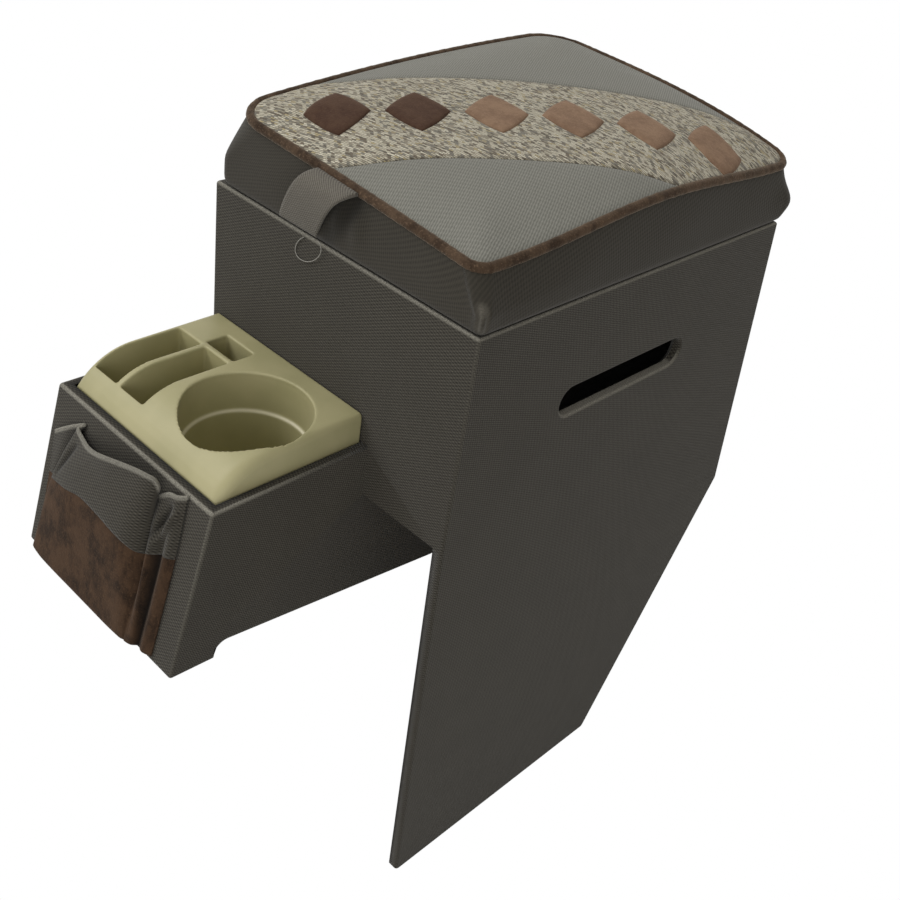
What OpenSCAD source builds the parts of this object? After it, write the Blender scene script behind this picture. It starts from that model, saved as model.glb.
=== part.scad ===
// Car centre armrest: a fabric-covered plywood box that sits astride a transmission tunnel.
// It has a padded hinged lid, a lower nose with a moulded cup tray and a sewn pocket,
// and one long leg on the right that reaches the cabin floor and leaves a channel for the handbrake.
// Axes: +X right, +Y to the back of the car, +Z up. Z = 0 is the cabin floor.

/* [Storage box] */
// Overall width across the covers
box_w = 240; // [200:1:280]
// Length of the box at its rim, front to back
box_len = 316; // [280:1:360]
// Height of the rim above the cabin floor
rim_z = 493; // [470:1:540]
// Height of the underside of the storage floor
channel_z = 338; // [320:1:350]
// How far the back panel's foot stands behind the rim
back_kick = 40; // [10:1:60]
// Plywood thickness of every panel
board_t = 6; // [5:0.5:8]
// Thickness of the glued cover fabric
fabric_t = 1; // [0.6:0.1:1.5]
// Thickness of the felt that lines the box
lining_t = 1.5; // [1:0.1:3]
// How far the lining stops below the rim
lining_drop = 4; // [2:0.5:15]

/* [Lower edges and leg] */
// Height of the level edge that rests on the tunnel
seat_z = 246; // [230:1:260]
// Where the level edge begins, behind the box's front face
seat_start = 80; // [40:1:140]
// Height of the step behind the nose's toe
step_h = 12; // [11:1:20]
// Radius at the top of that step
notch_r = 9; // [4:1:10]
// Set-back of the leg's toe at the floor
leg_toe = 12; // [0:1:40]
// Length of the leg's foot on the floor
leg_foot = 238; // [180:1:300]
// Radius of the leg's back corner, where it meets the back panel
leg_corner_r = 24; // [8:1:40]
// Radius of the leg's two corners on the floor
toe_r = 4; // [2:0.5:10]

/* [Handle slot] */
// Length of the slot, end to end
slot_len = 134; // [90:1:160]
// Height of the slot
slot_h = 26; // [20:1:34]
// Middle of the slot behind the box's front face
slot_y = 159; // [130:1:190]
// Middle of the slot below the rim
slot_drop = 77; // [50:1:100]

/* [Nose] */
// Width of the nose across the covers
nose_w = 166; // [163:1:176]
// Length of the nose at its rim
nose_len = 119; // [110:1:135]
// How far the nose's foot stands in front of its rim
nose_kick = 29; // [10:1:40]
// Height of the nose's rim
nose_rim_z = 378; // [378:1:390]
// Height of the nose's foot above the level edge
nose_foot_up = 16; // [10:1:20]
// Length of the toe that the nose's walls stand on
nose_toe = 33; // [20:1:40]

/* [Cup tray] */
// Wall thickness of the moulding
tray_wall = 2.5; // [1.8:0.1:3]
// Height of the tray's deck above the nose's rim
tray_rise = 21; // [14:1:24]
// Radius of the rolled front of the deck
roll_r = 50; // [40:1:60]
// Clearance of the tray inside the nose
tray_gap = 0.5; // [0.3:0.1:1]
// How far the tray's skirt hangs below the nose's rim
skirt_drop = 7; // [4:0.5:12]
// Length of deck between the cup hole and the tray's front end
cup_ahead = 13.3; // [12:0.1:18]
// Length of deck between the cup hole and the tray's back end
cup_behind = 14.5; // [12:0.5:18]
// Width of deck between the cup hole and the tray's right wall
cup_beside = 3; // [2.5:0.1:4]
// Width of the ledge inside the cup hole
cup_ledge = 2.1; // [1:0.1:4]
// Depth of the ledge below the deck
ledge_depth = 29; // [20:1:40]
// Depth of the cup well below the deck
cup_depth = 70; // [60:1:75]
// Width of deck between the cup hole and the compartments
cup_rim = 7.5; // [5:0.5:12]
// Width of deck beside the left compartment
bay_beside = 4; // [3:0.5:6]
// Thickness of the ribs between compartments
rib_t = 4.5; // [3:0.5:6]
// Depth of the two long compartments
bay_depth = 45; // [30:1:55]
// Depth of the small compartment
small_bay_depth = 30; // [20:1:45]
// Length of deck between the long compartments and the tray's front end
bay_ahead = 12.3; // [12:0.1:18]
// Length of deck between the long compartments and the tray's back end
bay_behind = 34.5; // [30:0.5:40]
// Length of deck between the small compartment and the tray's back end
small_behind = 13.5; // [12:0.5:18]
// Width of the ledges that carry the tray
ledge_w = 9; // [6:0.5:9.5]
// Height of the ledges and of the floor battens
batten_h = 12; // [8:1:20]

/* [Pocket] */
// Distance of the pocket from the nose's left side
pocket_x = 9; // [4:1:20]
// Width of the pocket
pocket_w = 131; // [100:1:145]
// Distance of the pocket's hem below the nose's rim, down the slope
hem_down = 28; // [20:1:40]
// Distance of the seam between the woven band and the velvet, down the slope
seam_down = 62; // [50:1:75]
// Distance of the pocket's bottom above the nose's foot, up the slope
pocket_up = 2.6; // [1:0.1:10]
// How far the hem stands off the nose
hem_out = 16; // [10:1:24]
// How far the pocket stands off at its bottom
bottom_out = 5; // [4:0.5:8]
// Thickness of the sewn pocket fabric
pocket_t = 1.8; // [1.2:0.1:2.5]

/* [Lid] */
// Set-back of the lid from the box's left side
lid_left = 7; // [3:1:12]
// Set-back of the lid from the box's right side
lid_right = 1; // [0.5:0.5:6]
// Set-back of the lid from the box's front and back
lid_set = 1; // [0.5:0.5:4]
// Height from the lid board's underside to the middle of the piping
lid_h = 46; // [36:1:60]
// Thickness of the lid's plywood
lid_board_t = 8; // [6:0.5:12]
// Gap between the rim and the lid board
lid_gap = 1.5; // [1.4:0.1:2]
// Radius of the lid's corners in plan
lid_corner_r = 22; // [14:1:30]
// Thickness of the sewn cover fabric on the lid
skin_t = 1.5; // [1:0.1:2]
// Thickness of the hem and the lining below the lid board
under_t = 1; // [0.6:0.1:1.2]
// Width of the hem that is turned in below the lid board
hem_w = 16; // [10:1:24]
// Radius of the velvet piping
piping_r = 3; // [2:0.25:4]
// Rise of the padded top above the piping
crown = 9; // [4:1:14]

/* [Diagonal band] */
// Angle of the band from the lid's front edge, in degrees
band_angle = 53; // [45:1:60]
// Width of the band
band_w = 152; // [100:1:170]
// Offset of the band from the lid's front left corner, to the right
band_shift = 8; // [-10:1:20]
// Length of one lozenge along the band
patch_len = 42; // [24:1:44]
// Height of one lozenge across the band
patch_h = 56; // [30:1:70]
// Distance from one lozenge to the next
patch_pitch = 50; // [45:1:52]
// Distance along the band from the front left corner to the first lozenge
patch_start = 66; // [60:1:75]
// Thickness of the velvet lozenges
patch_t = 1.2; // [0.8:0.1:2]

/* [Pull tab] */
// Width of the webbing
tab_w = 36; // [25:1:40]
// Thickness of the webbing
tab_t = 2; // [1.2:0.1:2.5]
// How far the webbing arches out from the lid
tab_out = 15; // [10:1:20]
// Middle of the webbing from the box's left side
tab_x = 101; // [80:1:130]
// Slant of the webbing, in degrees from upright
tab_slant = 35; // [0:1:40]

/* [Hinges] */
// Width of each hinge
hinge_w = 38; // [30:1:60]
// Distance of each hinge's middle from the box's left or right side
hinge_in = 55; // [40:1:80]
// Reach of each leaf from the pin
leaf_reach = 26; // [22:1:30]
// Thickness of each leaf
leaf_t = 1.2; // [1:0.1:1.2]
// Radius of the hinge pin
pin_r = 1.25; // [1:0.05:1.4]
// Running clearance round the pin
pin_gap = 0.05; // [0.02:0.01:0.08]
// Radius of the knuckles
knuckle_r = 2.5; // [2.2:0.1:3]
// Radius of the wood screws
screw_r = 1.2; // [1:0.1:1.6]
// Length of the wood screws below their heads
screw_len = 5; // [4:0.5:5.5]

/* [Hidden] */
$fn = 48;

// Colours, as the photograph shows them
charcoal = [0.25, 0.24, 0.22];
twill_grey = [0.44, 0.44, 0.42];
webbing_grey = [0.36, 0.35, 0.33];
tweed_cream = [0.66, 0.62, 0.53];
velvet_brown = [0.29, 0.22, 0.17];
velvet_tan = [0.49, 0.38, 0.30];
tray_beige = [0.73, 0.71, 0.56];
plywood = [0.76, 0.62, 0.43];
felt = [0.20, 0.20, 0.19];
foam_cream = [0.86, 0.80, 0.62];
zinc = [0.70, 0.70, 0.70];

// Shared derived sizes
wall_t = board_t + fabric_t;
nose_foot_z = seat_z + nose_foot_up;
back_lean = back_kick / (rim_z - seat_z);
back_angle = atan(back_lean);
nose_lean = nose_kick / (nose_rim_z - nose_foot_z);
nose_angle = atan(nose_lean);
back_foot = box_len + back_kick;
nose_foot = nose_len + nose_kick;
mid_y = (back_foot - nose_foot) / 2;
floor_top = channel_z + board_t;
overlap = 1;
joint_gap = 0.05;
smallest_r = 4;

// Thickness measured level through a leaning wall
function level(t, lean) = t * sqrt(1 + lean * lean);
// Outer faces of the two leaning panels at a height
function back_y(z) = box_len + (rim_z - z) * back_lean;
function nose_y(z) = -nose_len - (nose_rim_z - z) * nose_lean;
// Faces of the leaning panels at a depth below the cover's outer face
function back_at(z, depth) = back_y(z) - level(depth, back_lean);
function nose_at(z, depth) = nose_y(z) + level(depth, nose_lean);

// Outward normal of one side of an outline that runs anticlockwise
function unit(v) = v / norm(v);
function outward(a, b) = let (u = unit(b - a)) [u.y, -u.x];
// An outline grown outwards by d on every side, or shrunk where d is negative
function grown(pts, d) = [for (i = [0 : len(pts) - 1])
    let (last = pts[(i + len(pts) - 1) % len(pts)], next = pts[(i + 1) % len(pts)],
         n = outward(last, pts[i]), m = outward(pts[i], next))
    pts[i] + d * (n + m) / (1 + n * m)];
// The points of a rounded corner at b, between a and c
function rounded(a, b, c, r, steps = 6) =
    let (u = unit(a - b), v = unit(c - b), half = acos(u * v) / 2,
         hub = b + unit(u + v) * r / sin(half),
         p = b + u * r / tan(half) - hub, q = b + v * r / tan(half) - hub,
         from = atan2(p.y, p.x), turn = (atan2(q.y, q.x) - from + 540) % 360 - 180)
    [for (i = [0 : steps]) hub + r * [cos(from + turn * i / steps), sin(from + turn * i / steps)]];

// Corners of the side outlines, as [y, z]; the nose's toe falls a little towards the back
toe_drop = 2;
nose_foot_pt = [-nose_foot, nose_foot_z];
notch_foot_pt = [-nose_foot + nose_toe, nose_foot_z - toe_drop];
notch_top_pt = [-nose_foot + nose_toe + 1, nose_foot_z - toe_drop + step_h];
seat_pt = [seat_start, seat_z];
rim_back_pt = [box_len, rim_z];
lower_edge = concat([nose_foot_pt],
    [notch_foot_pt],
    rounded(notch_foot_pt, notch_top_pt, seat_pt, notch_r),
    [seat_pt]);
left_outline = concat(lower_edge,
    [[back_foot, seat_z], rim_back_pt, [0, rim_z], [0, nose_rim_z], [-nose_len, nose_rim_z]]);
inner_outline = concat(lower_edge,
    [[back_at(seat_z, wall_t), seat_z], [back_at(channel_z, wall_t), channel_z], [0, channel_z],
     [0, nose_rim_z], [-nose_len, nose_rim_z]]);
leg_toe_pt = [leg_toe, 0];
leg_heel_pt = [leg_toe + leg_foot, 0];
leg_top_pt = [0, channel_z];
leg_back_pt = [back_foot, seat_z];
right_outline = concat(rounded(leg_top_pt, leg_toe_pt, leg_heel_pt, toe_r),
    rounded(leg_toe_pt, leg_heel_pt, leg_back_pt, toe_r),
    rounded(leg_heel_pt, leg_back_pt, rim_back_pt, leg_corner_r),
    [rim_back_pt, [0, rim_z], leg_top_pt]);

// Places of the panels across the box
left_in = wall_t;
right_in = box_w - wall_t;
nose_in = nose_w - wall_t;

// Everything is drawn from the box's front left corner and then centred
module placed() {
    translate([-box_w / 2, -mid_y, 0]) children();
}

// A profile in the Y-Z plane, extruded from x0 to x1
module across(x0, x1) {
    translate([x0, 0, 0]) rotate([90, 0, 90]) linear_extrude(x1 - x0) children();
}

// Parallel to the nose's sloping face: z is up the slope, -y stands off it
module on_nose() {
    translate([0, -nose_len, nose_rim_z]) rotate([-nose_angle, 0, 0]) children();
}

// A slot outline with round ends, grown all round by d
module slot_outline(d) {
    reach = (slot_len - slot_h) / 2;
    translate([slot_y, rim_z - slot_drop]) {
        square([2 * reach, slot_h + 2 * d], center = true);
        for (side = [-1, 1])
            translate([side * reach, 0]) circle(slot_h / 2 + d);
    }
}

// The plywood side panels
module left_board() {
    color(plywood) placed() across(fabric_t, wall_t) polygon(grown(left_outline, -fabric_t));
}

module right_board() {
    color(plywood) placed() across(right_in, box_w - fabric_t) difference() {
        polygon(grown(right_outline, -fabric_t));
        slot_outline(fabric_t);
    }
}

module inner_board() {
    color(plywood) placed() across(nose_in, nose_w - fabric_t)
        polygon(grown(inner_outline, -fabric_t));
}

// Their covers, each turned over the board's edges
module left_cover() {
    color(charcoal) placed() difference() {
        across(0, wall_t) polygon(left_outline);
        across(fabric_t, wall_t + overlap) polygon(grown(left_outline, -fabric_t));
    }
}

module inner_cover() {
    color(charcoal) placed() difference() {
        across(nose_in, nose_w) polygon(inner_outline);
        across(nose_in - overlap, nose_w - fabric_t) polygon(grown(inner_outline, -fabric_t));
    }
}

// The leg shows both faces, so its cover also lines the inner face below the storage floor
module right_cover() {
    color(charcoal) placed() difference() {
        union() {
            across(right_in, box_w) polygon(right_outline);
            across(right_in - fabric_t, right_in) leg_inner_face();
        }
        across(right_in, box_w - fabric_t) difference() {
            polygon(grown(right_outline, -fabric_t));
            slot_outline(fabric_t);
        }
        across(right_in - overlap, box_w + overlap) slot_outline(0);
    }
}

module leg_inner_face() {
    intersection() {
        polygon(right_outline);
        polygon([[-overlap, -overlap], [back_foot, -overlap], [back_foot, seat_z],
            [back_at(seat_z, wall_t), seat_z], [back_at(channel_z, wall_t), channel_z],
            [-overlap, channel_z]]);
    }
}

// The front panel of the storage box
module front_board() {
    color(plywood) placed() across(left_in, right_in)
        translate([fabric_t, channel_z + fabric_t])
        square([board_t, rim_z - channel_z - 2 * fabric_t]);
}

module front_cover() {
    color(charcoal) placed() across(left_in, right_in) difference() {
        translate([0, channel_z]) square([wall_t, rim_z - channel_z]);
        translate([fabric_t, channel_z + fabric_t])
            square([board_t + overlap, rim_z - channel_z - 2 * fabric_t]);
    }
}

// The leaning back panel
module back_band(z0, z1, d0, d1) {
    polygon([[back_at(z0, d1), z0], [back_at(z0, d0), z0], [back_at(z1, d0), z1],
        [back_at(z1, d1), z1]]);
}

module back_board() {
    color(plywood) placed() difference() {
        across(left_in, right_in) back_band(seat_z + fabric_t, rim_z - fabric_t, fabric_t, wall_t);
        box_screw_places() screw_shank();
    }
}

module back_cover() {
    color(charcoal) placed() difference() {
        across(left_in, right_in) back_band(seat_z, rim_z, 0, wall_t);
        across(left_in - overlap, right_in + overlap)
            back_band(seat_z + fabric_t, rim_z - fabric_t, fabric_t, wall_t + overlap);
        box_screw_places() screw_shank();
    }
}

// The floor of the storage box and the battens glued below it
module storage_floor() {
    color(plywood) placed() across(left_in, right_in)
        polygon([[wall_t, channel_z], [back_at(channel_z, wall_t), channel_z],
            [back_at(floor_top, wall_t), floor_top], [wall_t, floor_top]]);
}

module floor_batten(x0) {
    color(plywood) placed() across(x0, x0 + batten_h)
        polygon([[wall_t, channel_z - batten_h],
            [back_at(channel_z - batten_h, wall_t), channel_z - batten_h],
            [back_at(channel_z, wall_t), channel_z], [wall_t, channel_z]]);
}

module floor_batten_left() {
    floor_batten(left_in);
}

module floor_batten_inner() {
    floor_batten(nose_in - batten_h);
}

// Felt glued inside the box, open at the top and cut through for the handle slot
module storage_lining() {
    top = rim_z - lining_drop;
    color(felt) placed() difference() {
        across(left_in, right_in)
            polygon([[wall_t, floor_top], [back_at(floor_top, wall_t), floor_top],
                [back_at(top, wall_t), top], [wall_t, top]]);
        across(left_in + lining_t, right_in - lining_t)
            polygon([[wall_t + lining_t, floor_top + lining_t],
                [back_at(floor_top + lining_t, wall_t + lining_t), floor_top + lining_t],
                [back_at(top + overlap, wall_t + lining_t), top + overlap],
                [wall_t + lining_t, top + overlap]]);
        across(right_in - lining_t - overlap, right_in + overlap) slot_outline(0);
    }
}

// The sloping front panel of the nose
module nose_band(z0, z1, d0, d1) {
    polygon([[nose_at(z0, d0), z0], [nose_at(z0, d1), z0], [nose_at(z1, d1), z1],
        [nose_at(z1, d0), z1]]);
}

module nose_front_board() {
    color(plywood) placed() across(left_in, nose_in)
        nose_band(nose_foot_z + fabric_t, nose_rim_z - fabric_t, fabric_t, wall_t);
}

module nose_front_cover() {
    color(charcoal) placed() across(left_in, nose_in) difference() {
        nose_band(nose_foot_z, nose_rim_z, 0, wall_t);
        nose_band(nose_foot_z + fabric_t, nose_rim_z - fabric_t, fabric_t, wall_t + overlap);
    }
}

// The two ledges that carry the tray
tray_foot_z = nose_rim_z - skirt_drop;
tray_front = nose_at(nose_rim_z, wall_t) + tray_gap;

module tray_ledge_front() {
    z0 = tray_foot_z - batten_h;
    color(plywood) placed() across(left_in, nose_in)
        polygon([[nose_at(z0, wall_t), z0], [tray_front + ledge_w, z0],
            [tray_front + ledge_w, tray_foot_z], [nose_at(tray_foot_z, wall_t), tray_foot_z]]);
}

module tray_ledge_back() {
    color(plywood) placed() across(left_in, nose_in)
        translate([-ledge_w, tray_foot_z - batten_h]) square([ledge_w, batten_h]);
}

// The moulded tray: a thin deck with a rolled front, a skirt, and wells that hang from it
deck_z = nose_rim_z + tray_rise;
roll_reach = sqrt(2 * roll_r * tray_rise - tray_rise * tray_rise);
roll_start = tray_front + roll_reach;
tray_left = left_in + tray_gap;
tray_right = nose_in - tray_gap;
tray_back = -tray_gap;
cup_r = (tray_back - tray_front - cup_ahead - cup_behind) / 2;
cup_x = tray_right - cup_beside - cup_r;
cup_y = tray_back - cup_behind - cup_r;
bay_x = tray_left + bay_beside;
bay_w = (cup_x - cup_r - cup_rim - rib_t - bay_x) / 2;
mid_bay_x = bay_x + bay_w + rib_t;
small_bay_x = mid_bay_x - rib_t;
small_bay_w = bay_w + rib_t;
bay_y0 = tray_front + bay_ahead;
bay_y1 = tray_back - bay_behind;
small_y0 = bay_y1 + rib_t;
small_y1 = tray_back - small_behind;
well_t = tray_wall - 0.5;
well_low = deck_z - cup_depth - 2 * tray_wall;

// Side view of the tray, set in by d, down to the height low
module tray_profile(d, low) {
    roll_end = asin(roll_reach / roll_r);
    polygon(concat([[tray_back - d, low], [tray_back - d, deck_z - d]],
        [for (i = [0 : 12]) let (a = roll_end * i / 12)
            [roll_start - (roll_r - d) * sin(a), deck_z - roll_r + (roll_r - d) * cos(a)]],
        [[tray_front + d, low]]));
}

module well(x, y0, y1, w, depth, d) {
    translate([x - d, y0 - d, deck_z - depth - d])
        cube([w + 2 * d, y1 - y0 + 2 * d, depth + d + (d == 0 ? overlap : 0)]);
}

module wells(d) {
    well(bay_x, bay_y0, bay_y1, bay_w, bay_depth, d);
    well(mid_bay_x, bay_y0, bay_y1, bay_w, bay_depth, d);
    well(small_bay_x, small_y0, small_y1, small_bay_w, small_bay_depth, d);
    translate([cup_x, cup_y, 0]) {
        translate([0, 0, deck_z - ledge_depth - d])
            cylinder(r = cup_r + d, h = ledge_depth + d + (d == 0 ? overlap : 0));
        translate([0, 0, deck_z - cup_depth - d])
            cylinder(r = cup_r - cup_ledge + d, h = cup_depth);
    }
}

module cup_tray() {
    color(tray_beige) placed() difference() {
        union() {
            difference() {
                across(tray_left, tray_right) tray_profile(0, tray_foot_z);
                across(tray_left + tray_wall, tray_right - tray_wall)
                    tray_profile(tray_wall, tray_foot_z - overlap);
            }
            intersection() {
                wells(well_t);
                across(tray_left, tray_right) tray_profile(0, well_low);
            }
        }
        wells(0);
    }
}

// The sewn pocket on the nose: a woven band over a velvet panel, with a gusset at each side
pocket_down = level(nose_rim_z - nose_foot_z, nose_lean) - pocket_up;
function pocket_out(s) = hem_out + (bottom_out - hem_out) * (s - hem_down) / (pocket_down - hem_down);

module pocket_sheet(s0, s1) {
    polygon([[-pocket_out(s0), -s0], [-pocket_out(s1), -s1], [pocket_t - pocket_out(s1), -s1],
        [pocket_t - pocket_out(s0), -s0]]);
}

module pocket_gusset(x0) {
    placed() on_nose() across(x0, x0 + pocket_t)
        polygon([[-joint_gap, -hem_down], [-pocket_out(hem_down), -hem_down],
            [-pocket_out(pocket_down), -pocket_down], [-joint_gap, -pocket_down]]);
}

module pocket_band() {
    color(charcoal) placed() on_nose()
        across(pocket_x + pocket_t, pocket_x + pocket_w - pocket_t) pocket_sheet(hem_down, seam_down);
}

module pocket_panel() {
    color(velvet_brown) placed() on_nose()
        across(pocket_x + pocket_t, pocket_x + pocket_w - pocket_t) {
            pocket_sheet(seam_down, pocket_down);
            translate([-bottom_out, -pocket_down]) square([bottom_out - joint_gap, pocket_t]);
        }
}

module pocket_gusset_left() {
    color(velvet_brown) pocket_gusset(pocket_x);
}

module pocket_gusset_right() {
    color(velvet_brown) pocket_gusset(pocket_x + pocket_w - pocket_t);
}

// Heights of the lid's layers
board_z = rim_z + lid_gap;
foam_z = board_z + lid_board_t;
piping_z = board_z + lid_h;
edge_z = piping_z - piping_r - joint_gap;
lid_x0 = lid_left;
lid_x1 = box_w - lid_right;
lid_y0 = lid_set;
lid_y1 = box_len - lid_set;
piping_in = piping_r - 1;
dome_in = piping_in + piping_r + joint_gap;

// The lid's plan, set in by d
module lid_plan(d, sides) {
    r = max(lid_corner_r - d, smallest_r);
    x0 = lid_x0 + d;
    x1 = lid_x1 - d;
    y0 = lid_y0 + d;
    y1 = lid_y1 - d;
    translate([x0 + r, y0]) square([x1 - x0 - 2 * r, y1 - y0]);
    translate([x0, y0 + r]) square([x1 - x0, y1 - y0 - 2 * r]);
    for (x = [x0 + r, x1 - r], y = [y0 + r, y1 - r])
        translate([x, y]) circle(r, $fn = sides);
}

module lid_slab(z0, z1, d, sides = 48) {
    translate([0, 0, z0]) linear_extrude(z1 - z0) lid_plan(d, sides);
}

// The crowned top's outer limit, with its surface lift above the foam. Each row of the crown
// has its distance in from the edge and its share of the crown's rise.
crown_rows = [[0, 0], [10, 0.5], [35, 0.9], [60, 1]];

module dome(lift) {
    hull()
        for (row = crown_rows)
            lid_slab(edge_z, piping_z + crown * row[1] + lift, dome_in + row[0], 32);
}

// Places along the diagonal band, from the lid's front left corner
module along_band() {
    translate([lid_x0, lid_y0, edge_z - overlap]) rotate(band_angle) children();
}

// The part of a fabric layer of the crowned top between two lines along the band
module top_cover(n0, n1) {
    intersection() {
        difference() {
            dome(skin_t);
            dome(0);
        }
        along_band() translate([-box_len, n0, 0]) cube([3 * box_len, n1 - n0, lid_h]);
    }
}

band_lo = -band_shift - band_w / 2;
band_hi = band_lo + band_w;

module front_twill() {
    color(twill_grey) placed() top_cover(band_lo - box_len, band_lo);
}

module tweed_band() {
    color(tweed_cream) placed() top_cover(band_lo, band_hi);
}

module back_twill() {
    color(twill_grey) placed() top_cover(band_hi, band_hi + box_len);
}

// A plain row of velvet lozenges sewn along the band
module lozenges(first, last) {
    intersection() {
        difference() {
            dome(skin_t + patch_t);
            dome(skin_t);
        }
        for (i = [first : last])
            along_band() translate([patch_start + i * patch_pitch, -band_shift, 0])
                linear_extrude(lid_h) lozenge_outline();
    }
}

module lozenge_outline() {
    polygon([[-patch_len / 2, 0], [0, -patch_h / 2], [patch_len / 2, 0], [0, patch_h / 2]]);
}

module dark_lozenges() {
    color(velvet_brown) placed() lozenges(0, 1);
}

module tan_lozenges() {
    color(velvet_tan) placed() lozenges(2, 5);
}

// The lid's plywood, foam and side cover
module lid_board() {
    color(plywood) placed() difference() {
        lid_slab(board_z, foam_z, skin_t);
        lid_screw_places() screw_shank();
    }
}

module lid_foam() {
    color(foam_cream) placed() union() {
        lid_slab(foam_z, edge_z, skin_t);
        dome(0);
    }
}

module lid_boxing() {
    color(charcoal) placed() difference() {
        lid_slab(board_z - under_t, edge_z, 0);
        lid_slab(board_z, edge_z + overlap, skin_t);
        lid_slab(board_z - under_t - overlap, board_z + overlap, hem_w);
        leaf_notches();
    }
}

module lid_lining() {
    color(felt) placed() difference() {
        lid_slab(board_z - under_t, board_z, hem_w);
        leaf_notches();
    }
}

// Velvet piping round the top edge: four straights and four quarter rings
module lid_piping() {
    r = lid_corner_r - piping_in;
    x0 = lid_x0 + lid_corner_r;
    x1 = lid_x1 - lid_corner_r;
    y0 = lid_y0 + lid_corner_r;
    y1 = lid_y1 - lid_corner_r;
    color(velvet_brown) placed() translate([0, 0, piping_z]) {
        for (y = [y0 - r, y1 + r])
            translate([x0, y, 0]) rotate([0, 90, 0]) cylinder(r = piping_r, h = x1 - x0);
        for (x = [x0 - r, x1 + r])
            translate([x, y0, 0]) rotate([-90, 0, 0]) cylinder(r = piping_r, h = y1 - y0);
        for (corner = [[x1, y1, 0], [x0, y1, 90], [x0, y0, 180], [x1, y0, 270]])
            translate([corner.x, corner.y, 0]) rotate(corner.z)
                rotate_extrude(angle = 90) translate([r, 0]) circle(piping_r);
    }
}

// Slanted webbing that arches from the piping down to the seam below the lid
module pull_tab() {
    half = (edge_z - board_z) / 2;
    chord = half / cos(tab_slant);
    arch_r = (chord * chord + tab_out * tab_out) / (2 * tab_out);
    color(webbing_grey) placed() intersection() {
        translate([tab_x, lid_y0, board_z + half]) rotate([0, tab_slant, 0])
            translate([-tab_w / 2, arch_r - tab_out, 0]) rotate([0, 90, 0]) difference() {
                cylinder(r = arch_r, h = tab_w);
                translate([0, 0, -overlap]) cylinder(r = arch_r - tab_t, h = tab_w + 2 * overlap);
            }
        translate([0, lid_y0 - 2 * tab_out, board_z])
            cube([box_w, 2 * tab_out - joint_gap, 2 * half]);
    }
}

// Two steel butt hinges at the back rim
leaf_gap = 0.1;
knuckle_gap = 0.15;
hinge_y = box_len + knuckle_r + 2 * leaf_gap;
hinge_z = rim_z + lid_gap / 2;
screw_step = hinge_w / 3;
screw_in = 6;
head_r = screw_r + 1;
head_top_r = 0.7 * head_r;
head_t = 1;
pin_head_r = pin_r + 0.8;
box_leaf_w = leaf_reach - knuckle_r - 1;
lid_leaf_w = leaf_reach - knuckle_r - 0.5;

module hinge_places() {
    for (x = [hinge_in, box_w - hinge_in])
        translate([x, 0, 0]) children();
}

// Upright frame of the box leaf: z runs up the back panel's face
module box_leaf_frame() {
    translate([0, box_len, rim_z]) rotate([back_angle, 0, 0]) children();
}

module box_screw_places() {
    hinge_places() box_leaf_frame()
        for (side = [-1, 1])
            translate([side * screw_step, leaf_gap + leaf_t, screw_in - leaf_reach])
                rotate([-90, 0, 0]) children();
}

module lid_screw_places() {
    hinge_places()
        for (side = [-1, 1])
            translate([side * screw_step, hinge_y - leaf_reach + screw_in, hinge_z - leaf_t / 2])
                rotate([180, 0, 0]) children();
}

// A screw stands head up on its leaf, with its point towards -z
module screw_shank() {
    translate([0, 0, -screw_len - leaf_t]) cylinder(r = screw_r, h = screw_len + leaf_t);
}

module screw() {
    screw_shank();
    cylinder(r1 = head_r, r2 = head_top_r, h = head_t);
}

module screw_hole() {
    translate([0, 0, -leaf_t - overlap]) cylinder(r = screw_r + joint_gap, h = leaf_t + 2 * overlap);
}

module knuckle(x0, x1) {
    translate([x0, hinge_y, hinge_z]) rotate([0, 90, 0]) cylinder(r = knuckle_r, h = x1 - x0);
}

module pin_bore() {
    translate([-hinge_w, hinge_y, hinge_z]) rotate([0, 90, 0])
        cylinder(r = pin_r + pin_gap, h = 2 * hinge_w);
}

module box_hinge_leaves() {
    half = hinge_w / 2;
    third = hinge_w / 6;
    color(zinc) placed() difference() {
        hinge_places() difference() {
            union() {
                box_leaf_frame() {
                    translate([-half, leaf_gap, -leaf_reach])
                        cube([hinge_w, leaf_t, box_leaf_w]);
                    for (x = [-half, third])
                        translate([x, leaf_gap, -leaf_reach]) cube([half - third, leaf_t, leaf_reach]);
                }
                knuckle(-half, -third);
                knuckle(third, half);
            }
            pin_bore();
        }
        box_screw_places() screw_hole();
    }
}

module lid_hinge_leaves() {
    half = hinge_w / 2;
    third = hinge_w / 6 - knuckle_gap;
    color(zinc) placed() difference() {
        hinge_places() difference() {
            union() {
                translate([-half, hinge_y - leaf_reach, hinge_z - leaf_t / 2])
                    cube([hinge_w, lid_leaf_w, leaf_t]);
                translate([-third, hinge_y - leaf_reach, hinge_z - leaf_t / 2])
                    cube([2 * third, leaf_reach, leaf_t]);
                knuckle(-third, third);
            }
            pin_bore();
        }
        lid_screw_places() screw_hole();
    }
}

module hinge_pins() {
    color(zinc) placed() hinge_places()
        translate([-hinge_w / 2 - knuckle_gap, hinge_y, hinge_z]) rotate([0, 90, 0]) {
            cylinder(r = pin_r, h = hinge_w + 2 * knuckle_gap);
            for (z = [-head_t, hinge_w + 2 * knuckle_gap])
                translate([0, 0, z]) cylinder(r = pin_head_r, h = head_t);
        }
}

module box_hinge_screws() {
    color(zinc) placed() box_screw_places() screw();
}

module lid_hinge_screws() {
    color(zinc) placed() lid_screw_places() screw();
}

// Room for the lid leaves in the hem and the lining below the lid board
module leaf_notches() {
    hinge_places()
        translate([-hinge_w / 2 - leaf_gap, hinge_y - leaf_reach - leaf_gap, board_z - under_t - overlap])
        cube([hinge_w + 2 * leaf_gap, leaf_reach, under_t + overlap]);
}

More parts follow.
